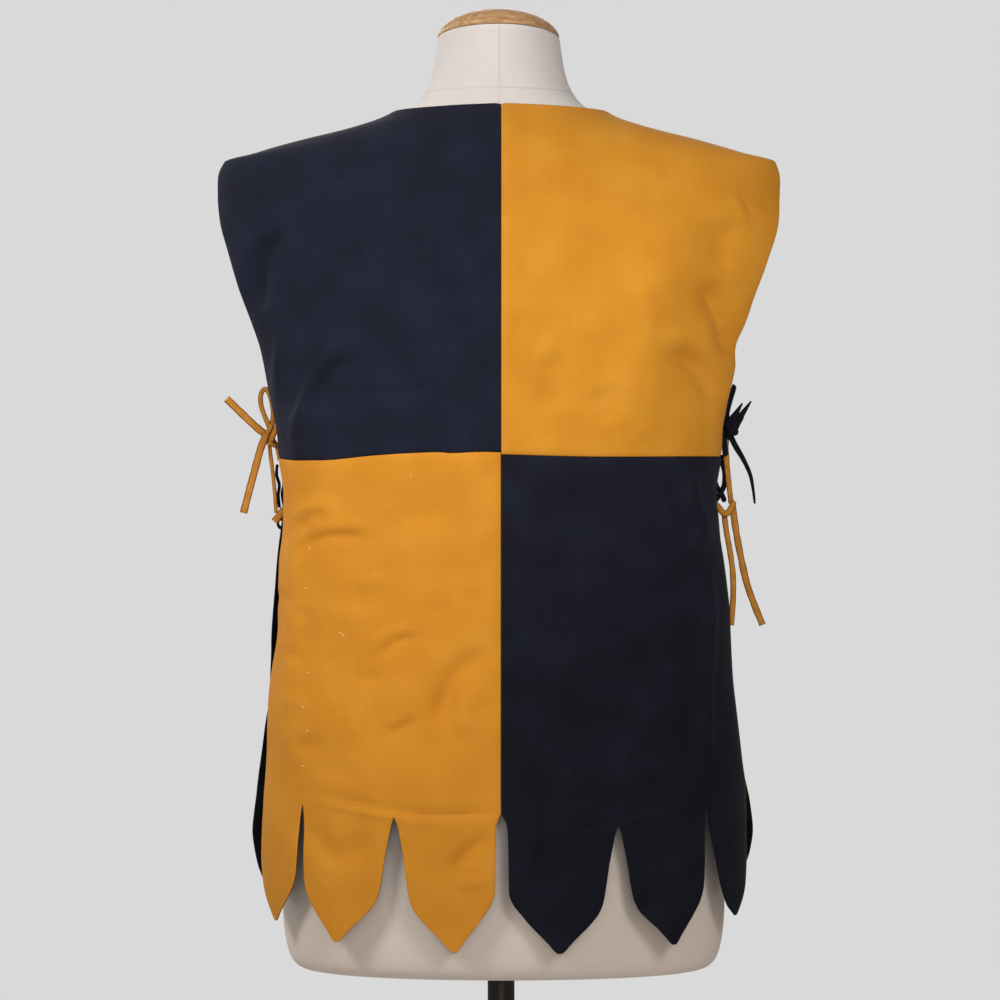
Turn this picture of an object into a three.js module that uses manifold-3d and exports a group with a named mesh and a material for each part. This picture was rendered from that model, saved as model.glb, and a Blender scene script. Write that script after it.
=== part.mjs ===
import * as THREE from 'three'
import { mergeVertices } from 'three/addons/utils/BufferGeometryUtils.js'
import Module from 'manifold-3d'

// Millimetres, +Z up, floor at z = 0. The wearer's back faces -Y; left is -X and right is +X.
const wasm = await Module()
wasm.setup()

// ---- named sizes ----
const clothWall = 2
const seamGap = 0.3
const halfGap = seamGap / 2
const seamHeight = 1163
const tipHeight = 1437.5
const neckHeight = 1485
const slotHeight = 842
const poleRadius = 12.5
const formFloor = 687
const neckTop = 1551
const neckTilt = Math.tan(6.6 * Math.PI / 180)
const neckTiltStart = 1493
const formLean = -0.006
const leanPivot = 1130
const capRise = 24.5
const capHalf = 57.5
const capBack = 65
const strapThick = 2.6
const strapCorner = 0.35
const taperPower = 1.5
const weldGap = 1e-4

const navy = { color: 0x20222d, roughness: 0.86, metalness: 0 }
const yellow = { color: 0xdb922a, roughness: 0.82, metalness: 0 }
const linen = { color: 0xd8cfc8, roughness: 0.9, metalness: 0 }
const wood = { color: 0xc0925f, roughness: 0.55, metalness: 0 }
const blackPaint = { color: 0x1d1814, roughness: 0.4, metalness: 0.3 }

// ---- the cloth's rings: left and right are its side edges' distances from the middle, edge is how
// far those edges lie from the plane y = 0, depth is the middle's, square is the ring's squareness ----
const backRings = [
  { z: 1485, left: 95.5, right: 94.5, edge: 0, depth: 68, square: 2.1 },
  { z: 1477, left: 111, right: 109, edge: 0, depth: 77, square: 1.9 },
  { z: 1467, left: 142, right: 141, edge: 0, depth: 87, square: 1.75 },
  { z: 1458, left: 180, right: 178, edge: 0, depth: 94, square: 1.65 },
  { z: 1449, left: 214, right: 211, edge: 0, depth: 100, square: 1.6 },
  { z: 1437.5, left: 256, right: 254, edge: 0, depth: 106, square: 1.6 },
  { z: 1421, left: 262.5, right: 258.5, edge: 7, depth: 111, square: 1.65 },
  { z: 1403, left: 262, right: 257.5, edge: 15, depth: 114.5, square: 1.75 },
  { z: 1380, left: 259.5, right: 255.5, edge: 25, depth: 117.5, square: 1.85 },
  { z: 1342, left: 249, right: 244.5, edge: 34, depth: 120, square: 1.95 },
  { z: 1302, left: 235, right: 230, edge: 35, depth: 121, square: 2.05 },
  { z: 1258, left: 221, right: 218.6, edge: 29, depth: 120, square: 2.15 },
  { z: 1222, left: 214, right: 211, edge: 19, depth: 119, square: 2.2 },
  { z: 1183, left: 207, right: 204, edge: 10, depth: 118, square: 2.25 },
  { z: 1163, left: 205.5, right: 203.7, edge: 8.5, depth: 118, square: 2.25 },
  { z: 1130, left: 201, right: 199, edge: 7.5, depth: 118, square: 2.25 },
  { z: 1100, left: 202, right: 201, edge: 7, depth: 118.5, square: 2.25 },
  { z: 1065, left: 205.5, right: 206.5, edge: 6.5, depth: 119, square: 2.25 },
  { z: 1010, left: 206, right: 211, edge: 6, depth: 121, square: 2.25 },
  { z: 946, left: 214, right: 215.5, edge: 5.5, depth: 126, square: 2.3 },
  { z: 887, left: 217.5, right: 222.5, edge: 5, depth: 131, square: 2.3 },
  { z: 850, left: 219.5, right: 226.5, edge: 5, depth: 133, square: 2.3 },
  { z: 784, left: 221, right: 227.5, edge: 5, depth: 135, square: 2.3 },
  { z: 700, left: 221, right: 227.5, edge: 5, depth: 137, square: 2.3 }
]
const frontRings = [
  { z: 1485, left: 95.5, right: 94.5, edge: 0, depth: 50, square: 2.1 },
  { z: 1477, left: 111, right: 109, edge: 0, depth: 62, square: 1.9 },
  { z: 1467, left: 142, right: 141, edge: 0, depth: 75, square: 1.75 },
  { z: 1458, left: 180, right: 178, edge: 0, depth: 85, square: 1.65 },
  { z: 1449, left: 214, right: 211, edge: 0, depth: 93, square: 1.6 },
  { z: 1437.5, left: 256, right: 254, edge: 0, depth: 101, square: 1.6 },
  { z: 1421, left: 262.5, right: 258.5, edge: 7, depth: 107, square: 1.65 },
  { z: 1403, left: 261.5, right: 257, edge: 16, depth: 112, square: 1.75 },
  { z: 1380, left: 258, right: 254, edge: 27, depth: 117, square: 1.85 },
  { z: 1342, left: 246, right: 242, edge: 38, depth: 122.5, square: 1.95 },
  { z: 1302, left: 232, right: 227.5, edge: 39, depth: 125.5, square: 2.05 },
  { z: 1258, left: 219, right: 216.5, edge: 31, depth: 126.5, square: 2.15 },
  { z: 1222, left: 212, right: 209, edge: 20, depth: 126, square: 2.2 },
  { z: 1183, left: 206, right: 203, edge: 11, depth: 125.5, square: 2.25 },
  { z: 1163, left: 205, right: 203, edge: 9, depth: 125, square: 2.25 },
  { z: 1130, left: 203, right: 201, edge: 8, depth: 125, square: 2.25 },
  { z: 1100, left: 204, right: 202.5, edge: 8, depth: 125, square: 2.25 },
  { z: 1065, left: 208, right: 206, edge: 8, depth: 125.5, square: 2.25 },
  { z: 1010, left: 213, right: 209.5, edge: 8, depth: 127, square: 2.25 },
  { z: 946, left: 215.2, right: 213, edge: 8, depth: 130, square: 2.3 },
  { z: 887, left: 222.5, right: 222, edge: 9, depth: 132.5, square: 2.3 },
  { z: 850, left: 227.5, right: 229.5, edge: 9, depth: 134, square: 2.3 },
  { z: 814, left: 231.6, right: 235.6, edge: 10, depth: 135, square: 2.3 },
  { z: 797, left: 230, right: 234, edge: 10, depth: 135.5, square: 2.3 },
  { z: 766, left: 223.5, right: 224.5, edge: 10, depth: 136, square: 2.3 },
  { z: 700, left: 214, right: 216, edge: 10, depth: 137, square: 2.3 }
]

// how far the neckline drops at a share q of the way from the middle to the shoulder seam
const backNeck = [
  { q: 0, drop: 0 },
  { q: 1, drop: 0 }
]
const frontNeck = [
  { q: 0, drop: 95 },
  { q: 0.1, drop: 92 },
  { q: 0.18, drop: 83 },
  { q: 0.25, drop: 68 },
  { q: 0.3, drop: 52 },
  { q: 0.37, drop: 36 },
  { q: 0.45, drop: 27 },
  { q: 0.575, drop: 18 },
  { q: 0.75, drop: 8 },
  { q: 1, drop: 0 }
]

// the cross seam's wave by hand sewing: its rise at each distance from the middle
const seamWaves = {
  backLeft: [
    { x: 0, rise: 3.3 },
    { x: 57, rise: 5 },
    { x: 120, rise: 1 },
    { x: 168, rise: -2 },
    { x: 206, rise: 0 }
  ],
  backRight: [
    { x: 0, rise: 1 },
    { x: 90, rise: -1 },
    { x: 204, rise: 0 }
  ],
  frontLeft: [
    { x: 0, rise: 1 },
    { x: 110, rise: 3 },
    { x: 205, rise: 0 }
  ],
  frontRight: [
    { x: 0, rise: 2 },
    { x: 120, rise: -1 },
    { x: 204, rise: 0 }
  ]
}
const waveReach = 50

// the dags of each lower quarter from the middle outwards: share of the row they span, the height
// of the slots beside them, and their tip with its share across
const dagTables = {
  backLeft: [
    { from: 0, to: 0.355, slotIn: 842, slotOut: 838.3, tip: 717.6, lean: 0.44 },
    { from: 0.355, to: 0.693, slotIn: 838.3, slotOut: 846.8, tip: 724.7, lean: 0.557 },
    { from: 0.693, to: 1, slotIn: 846.8, slotOut: 850, tip: 738.5, lean: 0.42 }
  ],
  backRight: [
    { from: 0, to: 0.376, slotIn: 842, slotOut: 831, tip: 716.7, lean: 0.468 },
    { from: 0.376, to: 0.692, slotIn: 831, slotOut: 846.7, tip: 722, lean: 0.557 },
    { from: 0.692, to: 1, slotIn: 846.7, slotOut: 850, tip: 743, lean: 0.42 }
  ],
  frontLeft: [
    { from: 0, to: 0.365, slotIn: 841, slotOut: 843, tip: 719, lean: 0.5 },
    { from: 0.365, to: 0.685, slotIn: 843, slotOut: 836, tip: 727, lean: 0.47 },
    { from: 0.685, to: 1, slotIn: 836, slotOut: 838, tip: 741, lean: 0.5 }
  ],
  frontRight: [
    { from: 0, to: 0.35, slotIn: 841, slotOut: 836, tip: 722, lean: 0.53 },
    { from: 0.35, to: 0.68, slotIn: 836, slotOut: 844, tip: 716, lean: 0.48 },
    { from: 0.68, to: 1, slotIn: 844, slotOut: 846, tip: 744, lean: 0.5 }
  ]
}
// a dag's outline: how far its sides have closed on the tip at each share of its drop
const dagOutline = [
  { drop: 0, close: 0 },
  { drop: 0.13, close: 0.1 },
  { drop: 0.38, close: 0.145 },
  { drop: 0.58, close: 0.185 },
  { drop: 0.68, close: 0.27 },
  { drop: 0.77, close: 0.44 },
  { drop: 0.86, close: 0.65 },
  { drop: 0.94, close: 0.83 },
  { drop: 0.985, close: 0.92 },
  { drop: 1, close: 0.965 }
]
const dagColumns = 5

const upperHeights = [1485, 1481, 1477, 1467, 1458, 1449, 1437.5, 1421, 1403, 1380, 1342, 1302,
  1258, 1222, 1183, 1163]
const backColumns = [0, 0.1, 0.2, 0.3, 0.4, 0.5, 0.6, 0.7, 0.8, 0.88, 0.95, 1]
const frontColumns = [0, 0.08, 0.15, 0.2, 0.25, 0.3, 0.36, 0.43, 0.52, 0.62, 0.73, 0.84, 0.93, 1]
const lowerHeights = [1163, 1130, 1097, 1060, 1020, 980, 940, 900, 866, 842]

// ---- the form's rings ----
const formRings = [
  { z: formFloor, half: 178, back: 98, front: 97, square: 2.1 },
  { z: 690, half: 190, back: 108, front: 107, square: 2.1 },
  { z: 697, half: 198.5, back: 115, front: 114, square: 2.1 },
  { z: 714, half: 203.5, back: 119, front: 118, square: 2.1 },
  { z: 740, half: 206.5, back: 121.5, front: 120, square: 2.1 },
  { z: 790, half: 206.5, back: 122, front: 120, square: 2.1 },
  { z: 860, half: 202, back: 120, front: 117, square: 2.1 },
  { z: 940, half: 188, back: 113, front: 111, square: 2.1 },
  { z: 1020, half: 170, back: 105, front: 105, square: 2.1 },
  { z: 1080, half: 161, back: 101, front: 102, square: 2.1 },
  { z: 1140, half: 161, back: 101, front: 103, square: 2.1 },
  { z: 1200, half: 168, back: 105, front: 109, square: 2.1 },
  { z: 1260, half: 178, back: 110, front: 115, square: 2.1 },
  { z: 1320, half: 187, back: 113, front: 117, square: 2.05 },
  { z: 1370, half: 195, back: 112, front: 111, square: 1.95 },
  { z: 1400, half: 203, back: 108.5, front: 105, square: 1.85 },
  { z: 1420, half: 208, back: 104.5, front: 100, square: 1.75 },
  { z: 1432, half: 208, back: 100.5, front: 95, square: 1.65 },
  { z: 1440, half: 203, back: 97, front: 90, square: 1.6 },
  { z: 1446, half: 193, back: 94, front: 86, square: 1.6 },
  { z: 1453.5, half: 174, back: 89, front: 79, square: 1.65 },
  { z: 1462, half: 142, back: 82, front: 70, square: 1.75 },
  { z: 1472, half: 111, back: 73, front: 60, square: 1.9 },
  { z: 1480, half: 93, back: 67, front: 55, square: 2 },
  { z: 1487, half: 81.5, back: 64.5, front: 54, square: 2 },
  { z: 1494, half: 73.5, back: 63.5, front: 55, square: 2 },
  { z: 1508, half: 64.8, back: 63, front: 58, square: 2 },
  { z: 1524, half: 61, back: 63.5, front: 61, square: 2 },
  { z: 1540, half: 58.5, back: 64.5, front: 63.5, square: 2 },
  { z: neckTop, half: capHalf, back: capBack, front: capBack, square: 2 }
]
const baseRings = [
  { z: 0, radius: 168 },
  { z: 2, radius: 170 },
  { z: 7, radius: 170 },
  { z: 9, radius: 167 },
  { z: 10, radius: 36 },
  { z: 24, radius: 27 },
  { z: 26, radius: 24 }
]
const formSides = 40
const baseSides = 48
const poleSides = 24
const capRows = 7

// ---- the ties: each row is one stretch, its route from its root to its end, with its width ----
const knots = [
  { name: 'tie_left_knot', finish: yellow, at: [-216, -3, 1182.5], half: [6.4, 5.5, 9.4] },
  { name: 'tie_right_knot', finish: navy, at: [212.4, -1, 1190.5], half: [8, 5.5, 11.5] }
]
const straps = [
  { name: 'tie_left_end_up', finish: yellow, width: 7, steps: 4, off: 'tie_left_knot',
    route: [[-217, -3.2, 1182.5], [-226, -3.6, 1189.5], [-240, -5, 1202.6], [-254.8, -7, 1217]] },
  { name: 'tie_left_end_down', finish: yellow, width: 7, steps: 5, off: 'tie_left_knot',
    route: [[-218, -6.8, 1184], [-223, -7.4, 1171], [-229, -8, 1149], [-234.4, -8, 1129], [-239, -7.5, 1111]] },
  { name: 'tie_left_loop', finish: yellow, width: 4.6, steps: 14, off: 'tie_left_knot',
    route: [[-219, 0, 1184.5], [-220.6, 0.8, 1199], [-224, 1.2, 1212], [-223, 1.2, 1223.5],
      [-218.6, 1.2, 1228], [-214.2, 1.2, 1222], [-212.2, 1.2, 1209], [-211.8, 0.8, 1196], [-212.6, 0, 1184.5]] },
  { name: 'tie_left_strand', finish: yellow, width: 3.6, steps: 6, off: 'tie_left_knot',
    route: [[-215.6, -3, 1180], [-214.6, -2, 1168], [-212, -1.5, 1146], [-210.2, -1.5, 1128], [-209.6, -1, 1115]] },
  { name: 'tie_left_root', finish: yellow, width: 3.6, steps: 3, off: 'tie_left_knot',
    route: [[-213.5, -3, 1181], [-209.6, -2.5, 1176], [-207.4, -2.5, 1168], [-205.8, -3, 1160]] },
  { name: 'tie_left_band', finish: yellow, width: 7, steps: 4,
    route: [[-210.4, -5.6, 1102.8], [-207, -5.4, 1107], [-203.8, -3.4, 1111.2], [-202, -1.4, 1114.6]] },
  { name: 'tie_right_loop', finish: navy, width: 4.6, steps: 14, off: 'tie_right_knot',
    route: [[211, -1, 1194], [210.3, -1.2, 1204], [213.2, -1.8, 1217], [216.6, -1.2, 1228],
      [218, 1, 1231], [217.2, 3.4, 1226], [213.6, 3.8, 1215], [210.8, 3.2, 1203], [211.5, 2.4, 1194]] },
  { name: 'tie_right_tip_short', finish: navy, width: 6, ends: 1.6, steps: 4, off: 'tie_right_knot',
    route: [[213, -4.6, 1195], [216.6, -5.2, 1202.4], [220.4, -5.6, 1208], [224.1, -6, 1213]] },
  { name: 'tie_right_tip_long', finish: navy, width: 8, ends: 1.8, steps: 5, off: 'tie_right_knot',
    route: [[214, -1.2, 1187], [218.6, -1.4, 1194], [224.6, -2, 1203.6], [232.5, -2.5, 1215]] },
  { name: 'tie_right_tail', finish: navy, width: 6, ends: 2, steps: 7, off: 'tie_right_knot',
    route: [[212.5, -3, 1184], [217.5, -5, 1173.5], [225, -6, 1160.5], [231.3, -6, 1146.5],
      [234, -5.5, 1133], [235.6, -5, 1119.7]] },
  { name: 'tie_right_strand', finish: yellow, width: 5.2, steps: 5, off: 'tie_right_knot',
    route: [[209.5, 0, 1184], [209.3, 0, 1166], [210.6, 0, 1145], [212.6, 0, 1122]] },
  { name: 'tie_right_band', finish: yellow, width: 6, steps: 10,
    route: [[198.6, -3.9, 1120.2], [202.2, -5, 1116], [207, -6, 1111.2], [211.4, -6, 1111.6],
      [214.8, -5.4, 1117], [218, -4.6, 1123.4]] },
  { name: 'tie_right_end_inner', finish: yellow, width: 5.4, steps: 8,
    route: [[207.8, -1.6, 1107], [209.4, -2, 1094], [212.6, -2.5, 1076], [215.3, -3, 1055],
      [215.6, -3, 1033], [213.9, -3, 1006.5]] },
  { name: 'tie_right_end_outer', finish: yellow, width: 6.4, steps: 8,
    route: [[215.8, -1.2, 1113], [218.6, -1.8, 1093], [223, -2.5, 1069], [228.8, -3, 1044],
      [236, -3, 1024], [243, -3, 1007]] }
]
const laces = [
  { name: 'lace_left', finish: navy, width: 3, steps: 12,
    route: [[-208.3, 3, 1156], [-208.9, 2.6, 1146.5], [-206.4, 3, 1137], [-207.4, 2.6, 1127], [-206.2, 3, 1116]] },
  { name: 'lace_left_short', finish: navy, width: 3, steps: 7,
    route: [[-201.6, 0.6, 1138], [-203.6, 0.4, 1129.5], [-202, 0.6, 1118.5]] },
  { name: 'lace_right', finish: navy, width: 4.2, steps: 16,
    route: [[205.2, 3.4, 1166], [200.6, 3, 1155], [205.2, 3.4, 1145.5], [200.8, 3, 1137.5],
      [205.8, 3.4, 1130], [201.6, 3, 1123.5]] }
]
const laceEye = {
  name: 'lace_left_eye', finish: navy, at: [-204.2, -2.4, 1098.6], ring: 3.6, wire: 1.3, tall: 1.45, sides: [8, 16]
}

// ---- helpers ----
// Reads a table at any value of its first column: a smooth curve that never overshoots a row.
function reader (rows) {
  const [key, ...names] = Object.keys(rows[0])
  const slopes = {}
  for (const name of names) {
    const secants = rows.slice(1).map((row, i) => (row[name] - rows[i][name]) / (row[key] - rows[i][key]))
    slopes[name] = rows.map((row, i) => {
      const before = secants[i - 1] ?? secants[i]
      const after = secants[i] ?? secants[i - 1]
      return before * after <= 0 ? 0 : 2 * before * after / (before + after)
    })
  }
  const rising = rows[rows.length - 1][key] > rows[0][key]
  return at => {
    let i = 0
    while (i < rows.length - 2 && (rising ? at > rows[i + 1][key] : at < rows[i + 1][key])) i++
    const span = rows[i + 1][key] - rows[i][key]
    const t = THREE.MathUtils.clamp((at - rows[i][key]) / span, 0, 1)
    const result = {}
    for (const name of names) {
      const start = rows[i][name]
      const end = rows[i + 1][name]
      const lift = t * t * (3 - 2 * t)
      const push = span * (slopes[name][i] * t * (1 - t) ** 2 - slopes[name][i + 1] * t * t * (1 - t))
      result[name] = start + (end - start) * lift + push
    }
    return result
  }
}

// A point on one side's half ring at a share q of its length, from the middle (0) to the edge (1).
const ringSamples = 120
function ringPoint (ring, half, q) {
  const edge = Math.max(ring.edge, halfGap)
  const power = ring.square
  const reach = half / (1 - (edge / ring.depth) ** power) ** (1 / power)
  const last = Math.asin(Math.min(1, (half / reach) ** (power / 2)))
  const at = angle => [
    reach * Math.sin(angle) ** (2 / power),
    ring.depth * Math.max(Math.cos(angle), 0) ** (2 / power)
  ]
  const lengths = [0]
  let before = at(0)
  for (let i = 1; i <= ringSamples; i++) {
    const next = at(last * i / ringSamples)
    lengths.push(lengths[i - 1] + Math.hypot(next[0] - before[0], next[1] - before[1]))
    before = next
  }
  const goal = q * lengths[ringSamples]
  let i = 0
  while (i < ringSamples - 1 && lengths[i + 1] < goal) i++
  const part = (goal - lengths[i]) / (lengths[i + 1] - lengths[i])
  return at(last * (i + part) / ringSamples)
}

// One panel's surface: facing is -1 on the back and 1 on the front, side is -1 left and 1 right.
function surface (rings, side, facing, wave) {
  const ringAt = reader(rings)
  const riseAt = reader(wave)
  return (q, z) => {
    const ring = ringAt(z)
    const [x, y] = ringPoint(ring, side < 0 ? ring.left : ring.right, q)
    const rise = riseAt(x).rise * Math.exp(-(((z - seamHeight) / waveReach) ** 2))
    return new THREE.Vector3(side * Math.max(x, halfGap), facing * Math.max(y, halfGap), z + rise)
  }
}

// The surface's outward normal; at a seam it stays in the seam's own plane.
const normalStep = { q: 0.004, z: 1.5 }
function normalAt (skin, q, z, facing) {
  const q0 = Math.max(q - normalStep.q, 0)
  const q1 = Math.min(q + normalStep.q, 1)
  const across = skin(q1, z).sub(skin(q0, z))
  const up = skin(q, Math.min(z + normalStep.z, neckHeight)).sub(skin(q, z - normalStep.z))
  const normal = across.cross(up)
  if (normal.y * facing < 0) normal.negate()
  if (q === 0) normal.x = 0
  if (q === 1 && z >= tipHeight) {
    normal.y = 0
    if (normal.z < 0) normal.negate()
  }
  if (Math.abs(z - seamHeight) < 1) normal.z = 0
  return normal.normalize()
}

function meshOf (name, finish, geometry) {
  const mesh = new THREE.Mesh(geometry, new THREE.MeshStandardMaterial(finish))
  mesh.name = name
  return mesh
}

function geometryOf (points, triangles) {
  const geometry = new THREE.BufferGeometry()
  geometry.setAttribute('position', new THREE.Float32BufferAttribute(points.flatMap(p => p.toArray()), 3))
  geometry.setIndex(triangles.flat())
  geometry.computeVertexNormals()
  return geometry
}

// Turns a sheet of quads with a normal at each point into a closed wall of the cloth's thickness.
function thicken (sheet, outward) {
  const count = sheet.points.length
  const shift = (share) => sheet.points.map((p, i) => p.clone().addScaledVector(sheet.normals[i], share * clothWall))
  const points = [...shift(0.5), ...shift(-0.5)]
  const faces = []
  for (const [a, b, c, d] of sheet.quads) {
    const turned = outward ? [[a, b, c], [a, c, d]] : [[a, c, b], [a, d, c]]
    faces.push(...turned)
  }
  const edges = new Set()
  for (const [a, b, c] of faces) {
    for (const pair of [[a, b], [b, c], [c, a]]) edges.add(pair.join())
  }
  const triangles = [...faces, ...faces.map(([a, b, c]) => [a + count, c + count, b + count])]
  for (const pair of edges) {
    const [a, b] = pair.split(',').map(Number)
    if (edges.has([b, a].join())) continue
    triangles.push([b, a, a + count], [b, a + count, b + count])
  }
  return geometryOf(points, triangles)
}

// A sheet grows row by row; rows that meet share their points.
function newSheet () {
  return { points: [], normals: [], quads: [] }
}
function addRow (sheet, skin, facing, places) {
  return places.map(({ q, z, flat }) => {
    sheet.points.push(skin(q, z))
    sheet.normals.push(normalAt(skin, q, flat ?? z, facing))
    return sheet.points.length - 1
  })
}
function joinRows (sheet, upper, lower) {
  for (let i = 0; i < upper.length - 1; i++) sheet.quads.push([upper[i], lower[i], lower[i + 1], upper[i + 1]])
}

function upperQuarter (name, finish, { rings, side, facing, wave, neck, columns }) {
  const skin = surface(rings, side, facing, wave)
  const dropAt = reader(neck)
  const sheet = newSheet()
  const whole = neckHeight - seamHeight
  let above = null
  for (const height of upperHeights) {
    const share = (height - seamHeight) / whole
    const places = columns.map(q => {
      const z = height - dropAt(q).drop * share
      return height === seamHeight ? { q, z: z + halfGap, flat: seamHeight } : { q, z }
    })
    const row = addRow(sheet, skin, facing, places)
    if (above) joinRows(sheet, above, row)
    above = row
  }
  return meshOf(name, finish, thicken(sheet, side * facing < 0))
}

function lowerQuarter (name, finish, { rings, side, facing, wave, dags }) {
  const skin = surface(rings, side, facing, wave)
  const sheet = newSheet()
  const columns = dags.flatMap((dag, n) =>
    Array.from({ length: dagColumns + (n ? 0 : 1) }, (_, i) => {
      const share = (i + (n ? 1 : 0)) / dagColumns
      return {
        q: dag.from + (dag.to - dag.from) * share,
        slot: dag.slotIn + (dag.slotOut - dag.slotIn) * share
      }
    }))
  let above = null
  for (const height of lowerHeights) {
    const share = (seamHeight - height) / (seamHeight - slotHeight)
    const places = columns.map(({ q, slot }) => {
      const z = seamHeight - (seamHeight - slot) * share
      return height === seamHeight ? { q, z: z - halfGap, flat: seamHeight } : { q, z }
    })
    const row = addRow(sheet, skin, facing, places)
    if (above) joinRows(sheet, above, row)
    above = row
  }
  dags.forEach((dag, n) => {
    let upper = above.slice(n * dagColumns, (n + 1) * dagColumns + 1)
    for (const { drop, close } of dagOutline.slice(1)) {
      const tipShare = dag.from + (dag.to - dag.from) * dag.lean
      const places = columns.slice(n * dagColumns, (n + 1) * dagColumns + 1).map(({ q, slot }) => ({
        q: q + (tipShare - q) * close,
        z: slot + (dag.tip - slot) * drop
      }))
      const row = addRow(sheet, skin, facing, places)
      joinRows(sheet, upper, row)
      upper = row
    }
  })
  return meshOf(name, finish, thicken(sheet, side * facing < 0))
}

// A closed solid through level rings; each ring is a list of points of the same count.
function loft (rings) {
  const sides = rings[0].length
  const points = rings.flat()
  const triangles = []
  for (let r = 0; r < rings.length - 1; r++) {
    for (let i = 0; i < sides; i++) {
      const a = r * sides + i
      const b = r * sides + (i + 1) % sides
      triangles.push([a, b, b + sides], [a, b + sides, a + sides])
    }
  }
  const middle = ring => ring.reduce((sum, p) => sum.add(p), new THREE.Vector3()).divideScalar(sides)
  points.push(middle(rings[0]), middle(rings[rings.length - 1]))
  const top = (rings.length - 1) * sides
  for (let i = 0; i < sides; i++) {
    const next = (i + 1) % sides
    triangles.push([points.length - 2, next, i], [points.length - 1, top + i, top + next])
  }
  return geometryOf(points, triangles)
}

function ovalRing ({ z, half, back, front, square }, sides, tilt = 0, lean = 0) {
  return Array.from({ length: sides }, (_, i) => {
    const angle = 2 * Math.PI * (i + 0.5) / sides
    const c = Math.cos(angle)
    const s = Math.sin(angle)
    const x = half * Math.sign(c) * Math.abs(c) ** (2 / square)
    const y = (s < 0 ? back : front) * Math.sign(s) * Math.abs(s) ** (2 / square)
    return new THREE.Vector3(x + lean * (z - leanPivot), y, z - y * tilt)
  })
}

const round = (z, radius, sides) => ovalRing({ z, half: radius, back: radius, front: radius, square: 2 }, sides)

function toManifold (geometry) {
  const bare = new THREE.BufferGeometry()
  bare.setAttribute('position', geometry.getAttribute('position').clone())
  if (geometry.index) bare.setIndex(geometry.index.clone())
  const welded = mergeVertices(bare, weldGap)
  return new wasm.Manifold(new wasm.Mesh({
    numProp: 3,
    vertProperties: Float32Array.from(welded.getAttribute('position').array),
    triVerts: Uint32Array.from(welded.index.array)
  }))
}

function fromManifold (solid) {
  const { numProp, vertProperties, triVerts } = solid.getMesh()
  const points = []
  for (let i = 0; i < vertProperties.length; i += numProp) {
    points.push(new THREE.Vector3(...vertProperties.slice(i, i + 3)))
  }
  const triangles = []
  for (let i = 0; i < triVerts.length; i += 3) triangles.push([...triVerts.slice(i, i + 3)])
  return geometryOf(points, triangles)
}

const knotSides = { around: 14, tall: 8 }
function knotShape ({ at, half }, grow = 0) {
  const geometry = new THREE.SphereGeometry(1, knotSides.around, knotSides.tall)
  geometry.scale(half[0] + grow, half[1] + grow, half[2] + grow)
  geometry.translate(...at)
  return geometry
}

// A strap's section: flat along the first axis, eight-sided, with its corners taken off.
function strapSection (thick, width) {
  const t = thick / 2
  const w = width / 2
  const cut = strapCorner * t
  return new THREE.Shape([
    [t, w - cut], [t - cut, w], [cut - t, w], [-t, w - cut],
    [-t, cut - w], [cut - t, -w], [t - cut, -w], [t, cut - w]
  ].map(([a, b]) => new THREE.Vector2(a, b)))
}

// A strap follows its route, narrows to its end where the table says so, and stops short of its knot.
function strapShape ({ route, width, ends = width, steps, off }, thick) {
  const curve = new THREE.CatmullRomCurve3(route.map(p => new THREE.Vector3(...p)))
  const geometry = new THREE.ExtrudeGeometry(strapSection(thick, width), { steps, extrudePath: curve })
  const spine = curve.getSpacedPoints(steps * 4)
  const place = geometry.getAttribute('position')
  const spot = new THREE.Vector3()
  for (let i = 0; ends !== width && i < place.count; i++) {
    spot.fromBufferAttribute(place, i)
    let near = 0
    spine.forEach((p, n) => { if (p.distanceTo(spot) < spine[near].distanceTo(spot)) near = n })
    const share = near / (spine.length - 1)
    spot.sub(spine[near]).multiplyScalar(1 + (ends / width - 1) * share ** taperPower).add(spine[near])
    place.setXYZ(i, spot.x, spot.y, spot.z)
  }
  if (!off) return fromManifold(toManifold(geometry))
  const knot = toManifold(knotShape(knots.find(item => item.name === off), seamGap))
  return fromManifold(toManifold(geometry).subtract(knot))
}

// ---- the part ----
const group = new THREE.Group()
group.name = 'tabard_on_form'

const backUpper = { rings: backRings, facing: -1, neck: backNeck, columns: backColumns }
const frontUpper = { rings: frontRings, facing: 1, neck: frontNeck, columns: frontColumns }
const waves = seamWaves
group.add(
  upperQuarter('back_upper_left', navy, { ...backUpper, side: -1, wave: waves.backLeft }),
  upperQuarter('back_upper_right', yellow, { ...backUpper, side: 1, wave: waves.backRight }),
  upperQuarter('front_upper_left', yellow, { ...frontUpper, side: -1, wave: waves.frontLeft }),
  upperQuarter('front_upper_right', navy, { ...frontUpper, side: 1, wave: waves.frontRight })
)
const lower = [
  { name: 'back_lower_left', finish: yellow, rings: backRings, side: -1, facing: -1, table: 'backLeft' },
  { name: 'back_lower_right', finish: navy, rings: backRings, side: 1, facing: -1, table: 'backRight' },
  { name: 'front_lower_left', finish: navy, rings: frontRings, side: -1, facing: 1, table: 'frontLeft' },
  { name: 'front_lower_right', finish: yellow, rings: frontRings, side: 1, facing: 1, table: 'frontRight' }
]
for (const { name, finish, table, ...rest } of lower) {
  group.add(lowerQuarter(name, finish, { ...rest, wave: waves[table], dags: dagTables[table] }))
}

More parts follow.
